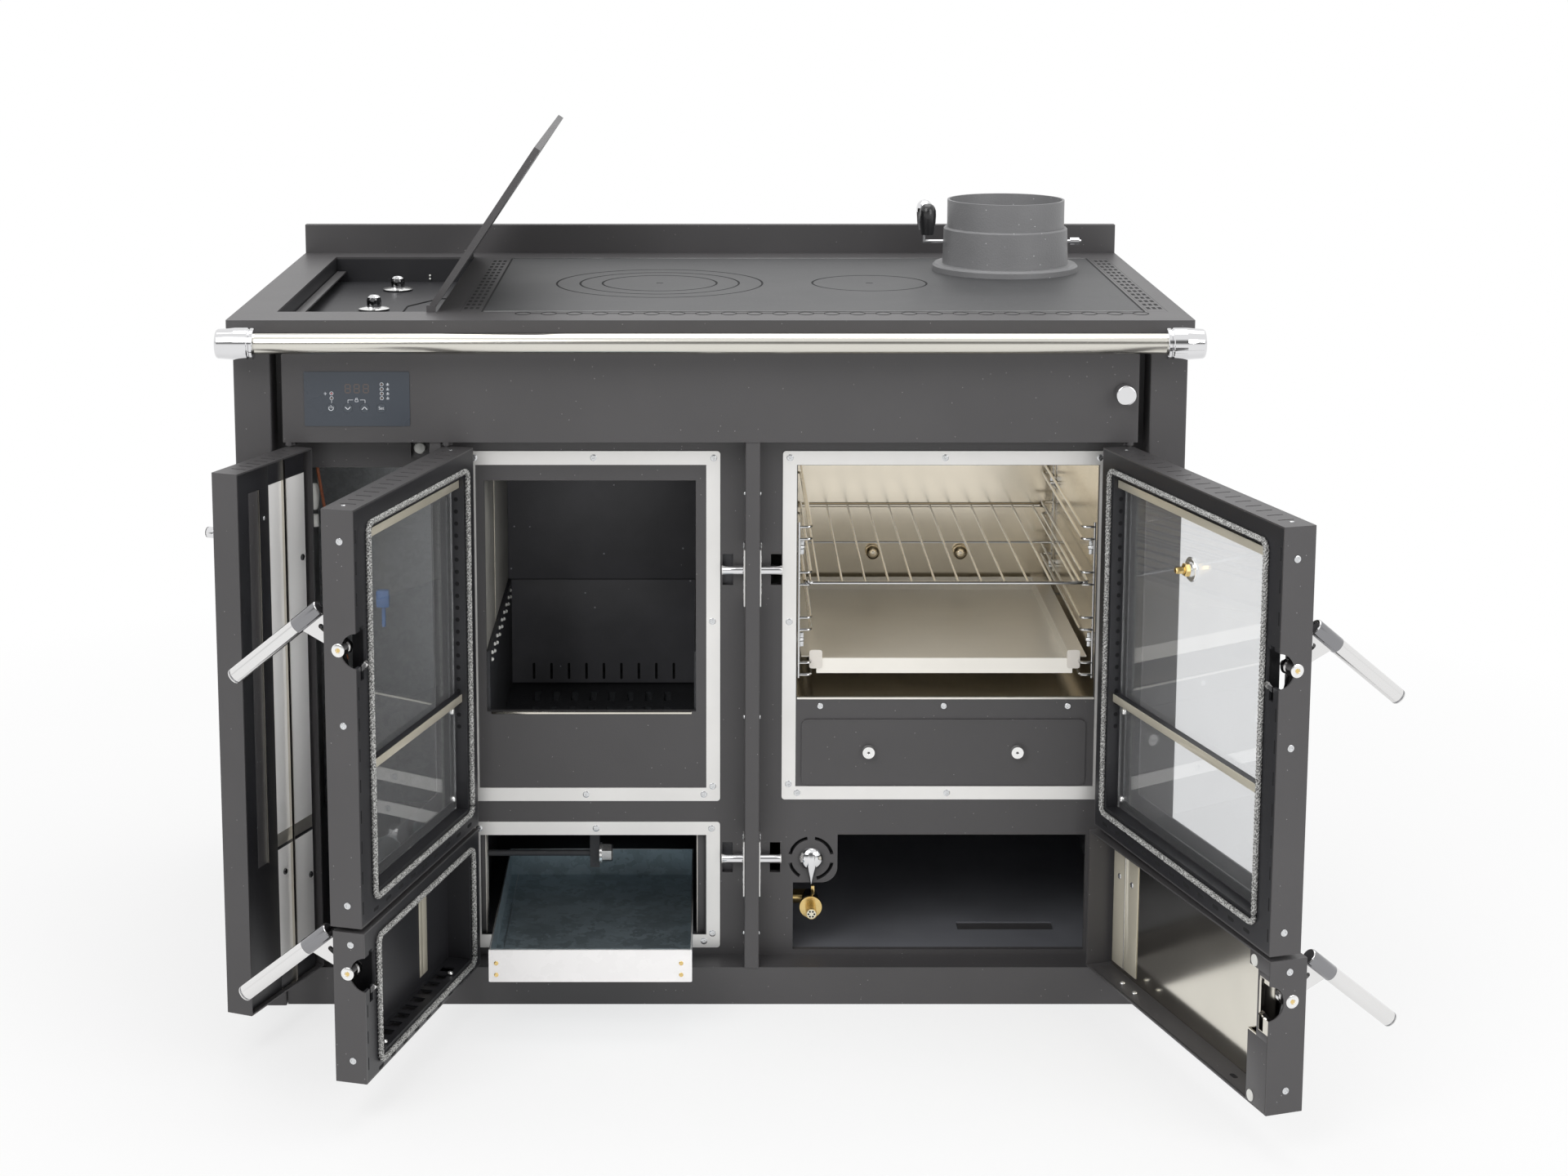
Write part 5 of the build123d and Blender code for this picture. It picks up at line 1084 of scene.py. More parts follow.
@dataclass
class Flue(SubAssembly):
    """Cast collar with its damper."""

    knob: Xyz = (289.0, 73.5, 915.0)

    def finishes(self) -> Surfaces:
        """Cast iron and chromed rod."""
        return {"flue_collar": COLLAR_CAST, "flue_damper": CHROME}

    def build(self) -> None:
        """Black knob over the crank's end."""
        profile = [(0.0, -0.4), (8.4, -0.4), (9.6, 8.0), (10.6, 16.0), (11.1, 24.0), (10.9, 31.0),
                   (9.6, 35.6), (7.6, 38.4), (4.6, 40.4), (0.0, 41.2)]
        self.make("damper_knob", Shape().lathe(profile, at(*self.knob)), BLACK_PLASTIC, "flue_damper")


@dataclass
class ControlPanel(SubAssembly):
    """Membrane panel with its printed marks, digits and keys."""

    left: float = -485.0
    bottom: float = 731.0
    keys: tuple[float, ...] = (32.0, 52.0, 72.0, 92.0)
    key_up: float = 21.8

    SEGMENTS: ClassVar[tuple[Area, ...]] = ((0.0, 1.0, 1.0, 1.0), (1.0, 1.0, 1.0, 0.5),
                                            (1.0, 0.5, 1.0, 0.0), (0.0, 0.0, 1.0, 0.0),
                                            (0.0, 0.5, 0.0, 0.0), (0.0, 1.0, 0.0, 0.5),
                                            (0.0, 0.5, 1.0, 0.5))
    STROKES: ClassVar[tuple[Area, ...]] = ((52.3, 28.0, 52.3, 31.8), (52.3, 31.8, 58.5, 31.8),
                                           (66.8, 31.8, 72.7, 31.8), (72.7, 31.8, 72.7, 28.0),
                                           (32.8, 31.6, 32.8, 28.0), (25.3, 37.5, 25.3, 41.5),
                                           (23.6, 39.5, 27.0, 39.5), (60.9, 29.6, 64.3, 29.6),
                                           (60.9, 32.2, 64.3, 32.2), (60.9, 29.6, 60.9, 32.2),
                                           (64.3, 29.6, 64.3, 32.2), (61.6, 32.2, 61.6, 34.0),
                                           (63.6, 32.2, 63.6, 34.0), (61.6, 34.0, 63.6, 34.0))

    def finishes(self) -> Surfaces:
        """Film on the panel and its keys."""
        return {"control_panel": PANEL_FILM, **{f"panel_key_{n}": KEY_FILM for n in range(1, 5)}}

    def place(self, proud: float = 0.02) -> Matrix:
        """From panel millimetres, right and up, to the frame."""
        return at(self.left, CASING_FRONT - 1.0 - proud, self.bottom) @ turn(90.0, "X")

    def bar(self, shape: Shape, ends: Area, width: float, place: Matrix) -> None:
        """Add a printed stroke between two panel points, given in one row."""
        a, b = Vector(ends[:2]), Vector(ends[2:])
        along = (b - a).normalized()
        side = Vector((-along.y, along.x)) * width / 2
        shape.prism([tuple(p) for p in (a - side, b - side, b + side, a + side)], PRINT_DEPTH, place)

    def ring(self, shape: Shape, x: float, up: float, place: Matrix) -> None:
        """Add a printed ring."""
        shape.annulus(1.75, 2.25, PRINT_DEPTH, place @ at(x, up, 0.0), 20)

    def build(self) -> None:
        """Marks, digits, lamps and keys."""
        self.marks()
        self.digits()
        self.lamps()
        self.key_marks()

    def marks(self) -> None:
        """Printed brackets, rings and small signs."""
        shape, place = Shape(), self.place()
        for ends in self.STROKES:
            self.bar(shape, ends, 0.5, place)
        for up in (50.7, 45.0, 39.5, 34.0):
            self.ring(shape, 92.8, up, place)
            for ends in ((98.4, up - 1.2, 101.6, up - 1.2), (98.4, up + 0.3, 101.6, up + 0.3),
                         (100.0, up - 1.2, 100.0, up + 1.9)):
                self.bar(shape, ends, 0.6, place)
        for up in (39.7, 34.0):
            self.ring(shape, 32.8, up, place)
        self.make("panel_print", shape, PRINT)

    def digits(self) -> None:
        """Three unlit digits in the window, with gaps between their segments."""
        shape, place = Shape(), self.place()
        for left in (49.3, 60.0, 70.9):
            for x0, up0, x1, up1 in self.SEGMENTS:
                a, b = (left + x0 * 6.0, 40.5 + up0 * 10.0), (left + x1 * 6.0, 40.5 + up1 * 10.0)
                middle = ((a[0] + b[0]) / 2, (a[1] + b[1]) / 2)
                ends = tuple(m + (p - m) * 0.8 for end in (a, b) for p, m in zip(end, middle))
                self.bar(shape, ends, 0.9, place)
        # The digit finish glows weakly though the digits are unlit: painted light.
        self.make("panel_digits", shape, DIGIT)

    def lamps(self) -> None:
        """Small indicator lamps in the rings."""
        # The pale lamps are unlit, so their weak glow is painted light.
        pale = ((32.8, 34.0), (92.8, 50.7), (92.8, 45.0), (92.8, 39.5), (92.8, 34.0))
        for name, finish, spots in (("panel_lamp_red", RED_LAMP, ((32.8, 39.7),)),
                                    ("panel_lamps_pale", DIGIT, pale)):
            shape = Shape()
            for x, up in spots:
                shape.lathe([(0.0, 0.0), (1.1, 0.0), (1.0, 0.18), (0.0, 0.25)],
                            self.place() @ at(x, up, 0.0), 12)
            self.make(name, shape, finish)

    def key_marks(self) -> None:
        """The sign on each key."""
        place, up = self.place(0.35), self.key_up
        for n, x in enumerate(self.keys, start=1):
            shape = Shape()
            if n == 1:
                self.power_sign(shape, x, place)
            elif n == 4:
                self.word(shape, x, place)
            else:
                tip = -1.6 if n == 2 else 1.6
                self.bar(shape, (x - 3.2, up - tip, x, up + tip), 0.9, place)
                self.bar(shape, (x, up + tip, x + 3.2, up - tip), 0.9, place)
            self.make(f"key_mark_{n}", shape, PRINT, f"panel_key_{n}")

    def power_sign(self, shape: Shape, x: float, place: Matrix) -> None:
        """Add an open ring with a tick through its gap."""
        up = self.key_up
        corners = [(x + 2.7 * sin(radians(a)), up + 2.7 * cos(radians(a))) for a in range(40, 321, 20)]
        for start, end in zip(corners, corners[1:]):
            self.bar(shape, (*start, *end), 0.7, place)
        self.bar(shape, (x, up + 0.2, x, up + 3.5), 0.7, place)

    def word(self, shape: Shape, x: float, place: Matrix) -> None:
        """Add the word for confirming a value."""
        text = bpy.data.curves.new("set_word", "FONT")
        text.body = "Set"
        text.size = 5.2
        text.align_x = "CENTER"
        text.align_y = "CENTER"
        text.extrude = PRINT_DEPTH / 2
        holder = link("set_word", text)
        bpy.context.view_layer.update()
        flat = bpy.data.meshes.new_from_object(holder)
        flat.transform(place @ at(x, self.key_up, PRINT_DEPTH / 2))
        shape.mesh.from_mesh(flat)
        bpy.data.objects.remove(holder)


@dataclass
class Firebox(SubAssembly):
    """Water jacket, hearth liner and grate behind the upper left door, and the ash space below."""

    def finishes(self) -> Surfaces:
        """Dark inside."""
        return {"boiler_body": INTERIOR, "hearth_liner": HEARTH_CAST, "hearth_grate": HEARTH_CAST,
                "grate_lever": HEARTH_CAST}

    def build(self) -> None:
        """Linings, liner holes, sill and the nut of the grate lever."""
        lining, seam = Shape(), Shape()
        for x0, x1 in ((-284.9, -276.0), (-16.0, -7.1)):
            for y0, y1 in ((-268.0, -126.6), (-125.4, 98.0)):
                lining.box((x0, y0, 438.5), (x1, y1, 700.0), 0.5)
        self.make("firebox_lining", lining, LINING_STEEL)
        for x in (-276.2, -15.8):
            seam.box((x - 0.6, -127.2, 438.5), (x + 0.6, -124.8, 700.0), 0.2)
        self.make("lining_seams", seam, WARM_PLATE)
        back = Shape().box((-275.8, 96.2, 438.5), (-16.2, 98.4, 700.0), 0.4)
        back.box((-271.8, 94.2, 292.5), (-20.2, 96.0, 438.0), 0.4)
        self.make("firebox_back", back, BACK_PAINT)
        self.hearth_details()
        self.ash_space()
        self.lever_nut()

    def hearth_details(self) -> None:
        """Bright holes of the side plate, painted shade of the back plate's slots, and the sill."""
        spots = [Spot((-272.0, y, up), ACROSS) for y in spaced(-240.0, 70.0, 9) for up in (429.0, 420.0)]
        self.scatter("liner_holes", spots, Fastener(Head.RIVET, 2.4, 2.6).mesh(), WHITE_PLASTIC)
        # Flat black tablets: painted shade in the back plate's slots.
        slots = [Spot((x, 94.2, up), FRONT_FACING) for x in spaced(-242.0, -50.0, 9) for up in (314.0, 304.0)]
        self.scatter("back_slots", slots, tablet(13.0, 3.4, 0.3), SHADOW)
        sill = Shape().box((-270.5, FRAME_FACE - 1.2, 360.4), (-22.8, FRAME_FACE + 2.0, 363.4), 0.8)
        self.make("opening_sill", sill, MIRROR)

    def ash_space(self) -> None:
        """Back plate and folded lips of the ash space."""
        lips, bright = Shape(), Shape()
        self.make("ash_back_plate", Shape().box((-238.0, 96.5, 92.0), (-46.0, 98.2, 204.0), 0.4), PAN_INSIDE)
        for low, high in ((-289.9, -280.4), (-16.2, -6.5)):
            lips.box((low, FRAME_BACK - 1.6, 72.0), (high, FRAME_BACK - 0.2, 204.8), 0.3)
        self.make("ash_lips", lips, CASING)
        for x in (-280.2, -16.4):
            bright.box((x - 0.5, FRAME_BACK - 1.7, 74.0), (x + 0.5, FRAME_BACK + 30.0, 204.0), 0.2)
        self.make("ash_lip_edges", bright, CLIP)

    def lever_nut(self) -> None:
        """Zinc nut and washer on the lever."""
        place = at(-139.0, FRAME_BACK + 24.0, 170.0) @ turn(90.0, "Y")
        nut = Shape().lathe([(0.0, -0.1), (13.1, -0.1), (13.1, 3.1), (0.0, 3.1)], place, 32)
        nut.lathe([(0.0, 2.9), (11.2, 2.9), (11.2, 14.6), (9.8, 16.2), (4.6, 16.3), (4.2, 14.0),
                   (0.0, 14.0)], place, 6)
        self.make("lever_nut", nut, WHITE_ZINC, "grate_lever")


@dataclass
class Oven(SubAssembly):
    """Oven cavity with its wire runners, the rack and the tray."""

    left: float = 106.4
    right: float = 473.5
    level: float = 408.0
    pitch: float = 57.2
    rail_gap: float = 15.3
    rack_bars: int = 12
    bar_pitch: float = 28.5

    def finishes(self) -> Surfaces:
        """Polished sheet, wire and tray."""
        return {"oven_box": OVEN_SHEET, "oven_runners": WIRE, "oven_rack": WIRE, "oven_tray": TRAY_METAL}

    @property
    def middle(self) -> float:
        """X halfway between the walls."""
        return (self.left + self.right) / 2

    @property
    def walls(self) -> tuple[Pair, Pair]:
        """X of each wall with the way into the oven."""
        return (self.left, 1.0), (self.right, -1.0)

    def build(self) -> None:
        """Bent wire in place of the plain bars, wing screws, tray corners and the sill."""
        self.runners()
        self.rack()
        self.wing_screws()
        self.tray_corners()
        sill = Shape().box((self.left + 0.3, FRAME_FACE - 1.0, 379.3),
                           (self.right - 0.3, FRAME_FACE + 2.0, 381.7), 0.5)
        self.make("oven_sill", sill, TRAY_METAL)

    def runners(self) -> None:
        """Runner ladders of bent wire on both walls."""
        y0, y1 = FRAME_BACK + 1.5, FRAME_BACK + 401.5
        top = self.level + self.pitch * 3 + self.rail_gap + 6.0
        lines = []
        for wall, inward in self.walls:
            post, rail = wall + inward * 2.3, wall + inward * 17.5
            lines += [[(post, y, self.level - 4.0), (post, y, top)] for y in (y0, y1)]
            for low in (self.level + self.pitch * n for n in range(4)):
                for z in (low, low + self.rail_gap):
                    lines.append([(post, y0, z), (rail, y0, z), (rail, y1, z), (post, y1, z)])
        self.kit.wires.bend("oven_runner_wires", lines, 1.7, 5.0, WIRE, "stove", ("oven_runners",))

    def rack(self) -> None:
        """Wire grid with rounded corners."""
        middle, half = self.middle, (self.right - self.left) / 2 - 10.1
        z = self.level + self.pitch * 2 + 3.65
        y0, y1 = FRAME_BACK - 4.0, FRAME_BACK + 432.0
        frame = [(middle, y0, z), (middle + half, y0, z), (middle + half, y1, z), (middle - half, y1, z),
                 (middle - half, y0, z), (middle, y0, z)]
        places = (middle + self.bar_pitch * (n - (self.rack_bars - 1) / 2) for n in range(self.rack_bars))
        bars = [[(x, y, z + 0.6) for y in (y0, y1)] for x in places]
        bars.append([(middle - half, (y0 + y1) / 2, z - 0.6), (middle + half, (y0 + y1) / 2, z - 0.6)])
        self.kit.wires.bend("oven_rack_frame", [frame], 2.2, 10.0, WIRE, "oven_rack", ("oven_rack",))
        self.kit.wires.bend("oven_rack_bars", bars, 1.5, 1.0, WIRE, "oven_rack")

    def wing_screws(self) -> None:
        """Ladder fixings: a stud with a small wing on each wall."""
        shape = Shape()
        stud = [(0.0, 0.0), (5.6, 0.0), (5.6, 1.2), (3.2, 1.6), (3.0, 8.0), (2.2, 9.2), (0.0, 9.4)]
        for wall, inward in self.walls:
            near, far = sorted((wall, wall + inward * 9.0))
            for z in (450.0, 566.9):
                for y in (FRAME_BACK + 12.0, FRAME_BACK + 392.0):
                    shape.lathe(stud, at(wall, y, z) @ turn(90.0 * inward, "Y"), 16)
                    shape.box((near + 1.0, y - 1.0, z - 9.0), (far, y + 1.0, z + 9.0), 0.9)
        self.make("ladder_fixings", shape, ZINC_SCREW)

    def tray_corners(self) -> None:
        """White clips at the tray's front corners."""
        shape = Shape()
        for x in (self.middle - 159.5, self.middle + 159.5):
            outline = rounded([(x - 8.0, 413.5), (x + 8.0, 413.5), (x + 8.0, 437.0), (x - 8.0, 437.0)], 3.5)
            shape.prism(outline, 2.4, at(0.0, FRAME_BACK + 12.0, 0.0) @ turn(90.0, "X"))
        self.make("tray_clips", shape, CLIP, "oven_tray")


@dataclass
class Storage(SubAssembly):
    """Drain valve and draft knob in the storage space."""

    valve: Pair = (127.0, 95.0)
    knob: Pair = (125.5, 173.8)

    def finishes(self) -> Surfaces:
        """Brass and chrome."""
        return {"water_fittings": BRASS, "draft_knob": CHROME}

    def build(self) -> None:
        """Valve parts and the domed draft knob."""
        x, z = self.valve
        tip = FRAME_BACK + 8.0
        place = at(x, tip, z) @ turn(90.0, "X")
        flange = Shape().lathe([(7.4, -23.6), (7.6, -23.6), (14.1, -23.8), (14.3, -25.0), (14.3, -29.4),
                                (13.4, -30.6), (7.4, -30.6)], place, 36)
        flange.lathe([(0.0, 0.3), (2.0, 0.3), (5.9, 0.3), (6.8, -0.6), (6.9, -2.0), (6.8, -2.4),
                      (6.8, -23.8), (0.0, -23.8)], place, 28)
        flange.box((x + 0.6, -218.0, z + 8.0), (x + 5.4, -212.0, z + 21.5), 0.8)
        self.make("drain_brass", flange, BRASS)
        face = Shape().lathe([(0.0, 0.0), (5.8, 0.0), (5.8, 0.2), (0.0, 0.25)],
                             at(x, tip - 0.3, z) @ turn(90.0, "X"), 24)
        self.make("drain_face", face, BRASS_FACE)
        # Six flat black discs on the nozzle face: painted shade in its holes.
        holes = [Spot((x + 3.7 * cos(pi * n / 3), tip - 0.5, z + 3.7 * sin(pi * n / 3)), FRONT_FACING)
                 for n in range(6)]
        self.scatter("drain_holes", holes, disc(1.3, 0.15, 8), SHADOW)
        body = Shape().lathe([(0.0, -30.4), (11.4, -30.4), (11.8, -33.0), (11.8, -44.0), (10.6, -45.5),
                              (10.6, -62.0), (0.0, -62.0)], place, 28)
        self.make("drain_body", body, BLACK_PLASTIC)
        self.draft_knob()

    def draft_knob(self) -> None:
        """Domed knob with a tapered pointer."""
        place = at(self.knob[0], FRAME_FACE - 0.3, self.knob[1]) @ turn(90.0, "X")
        shape = Shape().lathe([(0.0, 0.0), (15.4, 0.0), (15.75, 0.8), (15.75, 2.6), (14.6, 4.6),
                               (12.4, 6.8), (9.0, 8.8), (5.0, 10.0), (0.0, 10.4)], place, 40)
        rows = []
        arches = ((13.0, 7.0, 3.0), (10.0, 8.6, 8.6), (4.0, 9.2, 11.0), (-6.0, 8.6, 11.0),
                  (-14.0, 6.6, 10.4), (-24.0, 3.6, 8.6), (-31.4, 0.9, 6.4))
        for d, width, height in arches:
            angles = (pi * n / 8 for n in range(9))
            arch = [(width * cos(a), d, max(0.2, height * sin(a) ** 0.7)) for a in angles]
            rows.append([*arch, (0.0, d, 0.1)])
        shape.loft(rows, place)
        self.make("draft_knob_dome", shape, CHROME, "draft_knob", ("draft_knob",))


@dataclass
class Utility(SubAssembly):
    """Recess under the folding lid, with the valve knobs."""

    floor: float = 825.0

    def finishes(self) -> Surfaces:
        """Black tray, painted lid, chromed knobs."""
        return {"utility_tray": LINER_PAINT, "utility_lid": CASING, "heating_valve_knob": CHROME,
                "water_valve_knob": CHROME}

    def build(self) -> None:
        """Fluted knobs, their roses and the details of the recess."""
        # A thin black tube on the tray floor: painted shade of the panel seam.
        line = Shape()
        corners = ((-399.0, -28.0), (-399.0, 22.0), (-364.0, 94.0), (-333.0, 94.0))
        for start, end in zip(corners, corners[1:]):
            line.tube([(*start, 0.0), (*end, 0.0)], 1.3, at(0.0, 0.0, self.floor), 6)
        self.make("recess_panel_line", line, SHADOW)
        ledge = Shape().box((-523.4, -255.0, 838.0), (-511.0, 262.0, 840.5), 0.5)
        self.make("recess_ledge", ledge, CASING)
        spots = [Spot((-393.7, 264.8, up), FRONT_FACING) for up in (829.5, 834.0)]
        self.scatter("recess_rivets", spots, Fastener(Head.RIVET, 1.6, 1.6).mesh(), WHITE_PLASTIC)
        for name, x, y in (("heating_valve_knob", -439.0, -7.0), ("water_valve_knob", -429.0, 178.0)):
            self.valve_knob(name, x, y)

    def valve_knob(self, name: str, x: float, y: float) -> None:
        """Fluted knob with a raised grip bar, and the rose below it."""
        base = at(x, y, self.floor + 3.0)
        profile = [(8.6, 0.0, 0.9), (9.4, 1.0, 0.9), (9.4, 10.0, 0.9), (8.4, 14.0, 0.4), (5.5, 16.6, 0.4),
                   (2.0, 17.3, 0.4)]
        grip = [(0.0, -15.0, 12.5), (0.0, -12.0, 13.5), (0.0, 0.0, 14.0), (0.0, 12.0, 13.5),
                (0.0, 15.0, 12.5)]
        self.make(f"{name}_grip", Shape().lathe(profile, base, 24).tube(grip, 2.9, base), CHROME, name,
                  (name,))
        rose = [(9.6, 2.0), (19.6, 2.0), (20.2, 2.3), (18.0, 3.2), (10.5, 4.8), (9.6, 4.8)]
        self.make(f"{name}_rose", Shape().lathe(rose, at(x, y, self.floor), 40), WHITE_ZINC)


@dataclass
class Door(SubAssembly):
    """A door leaf with what is fixed to it, drawn on the shut leaf."""

    leaf: Leaf = LEFT

    def fix(self, name: str, shape: Shape, finish: Surface, replaces: Sequence[str] = ()) -> None:
        """Publish a shape that is drawn on the shut leaf."""
        publish(name, shape.mesh_data(name, self.leaf.swing()), finish, self.leaf.name, replaces)


@dataclass
class LeftDoor(Door):
    """Cover door in front of the service space, with its polished liner."""

    def finishes(self) -> Surfaces:
        """Painted shell, polished liner."""
        return {"left_door_shell": CASING, "left_door_liner": MIRROR}

    def build(self) -> None:
        """Knob, liner details and the service space."""
        sides = [(5.0, -0.2), (5.0, 2.0), (6.1, 2.4), (6.6, 3.4), (6.6, 14.6), (5.8, 16.1)]
        profile = [(0.01, -0.2), *((radius, height, 0.35) for radius, height in sides), (0.01, 16.3)]
        place = at(self.leaf.from_free(14.0), CASING_FRONT, 631.0) @ turn(90.0, "X")
        self.fix("left_door_knob", Shape().lathe(profile, place, 30), CHROME)
        self.liner()
        self.service_space()

    def liner(self) -> None:
        """Two polished panels between dark strips, with their screws. The panels' bright reflection is
        painted in as a near-white, non-metal colour.
        """
        leaf, face = self.leaf, self.leaf.back - 6.0
        low, high = 82.0, 677.0
        # The panels carry painted reflection in place of polished metal.
        strips = (("liner_panels", LINER_PAINTED_REFLECTION, 0.8, ((12.0, 52.4, low, 232.0), (56.0, 92.0, low, 232.0),
                                                      (12.0, 52.4, 252.0, high),
                                                      (56.0, 92.0, 252.0, high))),
                  ("liner_step", WARM_SEAM, 0.6, ((12.0, 92.0, 236.0, 252.2), (52.6, 55.8, low, high))),
                  ("liner_surround", LINER_PAINT, 0.5, ((92.2, 164.0, 57.0, 702.0),
                                                        (12.0, 92.0, high + 0.2, 702.0),
                                                        (12.0, 92.0, 57.0, low - 0.2),
                                                        (12.0, 92.0, 231.8, 236.2))),
                  ("liner_bright_edge", MIRROR, 2.6, ((115.2, 116.8, 225.0, 676.0),)),
                  ("liner_inner_plate", CASING, 1.2, ((117.0, 137.0, 225.0, 676.0),)))
        for name, finish, proud, areas in strips:
            self.fix(name, leaf.plates(areas, face - 0.2, face + proud, 0.12), finish)
        dark = [(leaf.from_hinge(d), face + 0.8, z) for d, z in ((20.0, 575.0), (78.0, 201.0), (19.0, 177.0))]
        self.scatter("liner_screws", leaf.spots(dark, BACK_FACING), Fastener(Head.RIVET, 4.0, 2.4).mesh(),
                     BLACK_PLASTIC, leaf.name)
        bright = [(leaf.from_hinge(103.0), face + 0.5, 640.0)]
        self.scatter("liner_bright_screw", leaf.spots(bright, BACK_FACING),
                     Fastener(Head.RIVET, 2.6, 1.4).mesh(), ZINC_SCREW, leaf.name)

    def service_space(self) -> None:
        """Capillary wire, bumper and plates inside the service space."""
        line = [(-482.0, -262.0, 700.0), (-479.0, -272.0, 672.0), (-471.0, -272.0, 620.0),
                (-462.0, -262.0, 540.0), (-452.0, -240.0, 420.0)]
        self.kit.wires.bend("capillary", [line], 1.9, 20.0, RED_WIRE, "stove", sides=8)
        bulb = Shape().lathe([(0.0, -17.0), (3.4, -16.0), (5.4, -11.0), (6.0, 0.0), (5.4, 11.0),
                              (3.4, 16.0), (0.0, 17.0)], at(-484.5, -262.0, 632.0), 24)
        bulb.lathe([(0.0, -8.0), (4.6, -7.4), (5.0, 0.0), (4.6, 7.4), (0.0, 8.0)],
                   at(-484.5, -262.0, 602.0), 20)
        self.make("sensor_bulb", bulb, WHITE_PLASTIC)
        lever = Shape().box((-418.0, -236.0, 484.0), (-401.0, -226.0, 507.0), 3.0)
        lever.box((-412.0, -228.0, 458.0), (-407.0, -224.0, 486.0), 1.0)
        self.make("shutoff_lever", lever, BLUE_PLASTIC)
        bumper = [(0.0, 0.0), (6.4, 0.0), (7.25, 1.2), (7.25, 4.0), (6.2, 5.8), (3.0, 6.8), (0.0, 7.0)]
        self.make("door_bumper", Shape().lathe(bumper, at(-352.5, FRAME_FACE, 696.0) @ turn(90.0, "X")),
                  WHITE_PLASTIC)
        bracket = Shape().box((-364.0, FRAME_FACE - 1.5, 684.0), (-341.0, FRAME_FACE, 708.0), 0.5)
        bracket.box((-364.0, FRAME_FACE - 9.0, 684.0), (-362.5, FRAME_FACE, 708.0), 0.3)
        self.make("bumper_bracket", bracket, CASING)


@dataclass
class HungDoor(Door):
    """A latched door leaf: screws in its edges, the latch's pivot and the sleeve of its handle."""

    leaf: Leaf = FIRE
    trim: Area = FIRE_TRIM
    inner: Surface = LINER_PAINT

    def finishes(self) -> Surfaces:
        """Painted shell and inner plate, and the lever."""
        name = self.leaf.name
        return {f"{name}_shell": CASING, f"{name}_inner": self.inner, f"{name}_handle": GRIP}

    def build(self) -> None:
        """Everything that a latched door has."""
        self.edge_screws()
        self.pivot()
        self.sleeve()

    def fit(self, name: str, places: Sequence[Xyz], facing: Xyz, part: Mesh, finish: Surface,
            along: Xyz = UP) -> None:
        """Set small parts on the shut leaf. The leaf's name goes before theirs."""
        self.scatter(f"{self.leaf.name}_{name}", self.leaf.spots(places, facing, along), part, finish,
                     self.leaf.name)

    def edge_screws(self) -> None:
        """Screws in the free edge and in the top edge."""
        leaf = self.leaf
        ups = [leaf.top - 14.0, leaf.bottom + 26.0]
        if leaf.top - leaf.bottom > TALL_LEAF:
            ups = [leaf.top - 35.0, (leaf.top + leaf.bottom) / 2 - 5.0, leaf.bottom + 25.5]
        screws, outward = [(leaf.free_x, CASING_FRONT + 21.0, z) for z in ups], (float(leaf.side), 0.0, 0.0)
        self.fit("edge_screws", screws, outward, Fastener(Head.SOCKET, 3.9, 0.9).mesh(), ZINC_SCREW)
        tops = [(x, CASING_FRONT + 17.0, leaf.top) for x in (leaf.from_hinge(21.5), leaf.from_free(21.5))]
        self.fit("top_screws", tops, UP, Fastener(Head.RIVET, 2.6, 0.8).mesh(), ZINC_SCREW, ACROSS)

    def pivot(self) -> None:
        """Pale pivot screw with a socket in the free edge."""
        leaf = self.leaf
        place = leaf.swing() @ at(leaf.free_x, CASING_FRONT + PIVOT_DEPTH,
                                  leaf.latch_z) @ turn(90.0 * leaf.side, "Y")
        head = [(0.0, -0.2), (7.5, -0.2), (7.5, 0.5), (6.6, 1.1), (3.1, 1.2), (2.7, 0.2), (0.0, 0.1)]
        core = [(0.0, 0.0), (2.6, 0.0), (2.6, 0.35), (0.0, 0.35)]
        self.make(f"{leaf.name}_pivot", Shape().lathe(head, place), WHITE_ZINC, leaf.name)
        self.make(f"{leaf.name}_pivot_socket", Shape().lathe(core, place, 6), BRASS, leaf.name)

    def sleeve(self) -> None:
        """Polished sleeve and end cap of the lever's grip, in a darkened chrome colour that paints in their
        dark reflection.
        """
        leaf = self.leaf
        place = leaf.lift() @ at(leaf.from_free(LEVER_INSET), CASING_FRONT + PIVOT_DEPTH - HANDLE_REACH,
                                 leaf.latch_z)
        shape = Shape().lathe([(0.0, 5.7), (5.0, 5.7), (8.0, 5.4), (9.2, 4.2), (9.35, 3.0), (9.35, -30.6),
                               (9.0, -31.4), (0.0, -31.5)], place, 40)
        shape.lathe([(0.0, -131.4), (8.0, -131.4), (8.9, -130.5), (9.02, -129.6), (9.02, -127.6),
                     (0.0, -127.6)], place, 40)
        self.make(f"{leaf.name}_sleeve", shape, SLEEVE_PAINTED_REFLECTION, leaf.name.replace("door", "handle"))


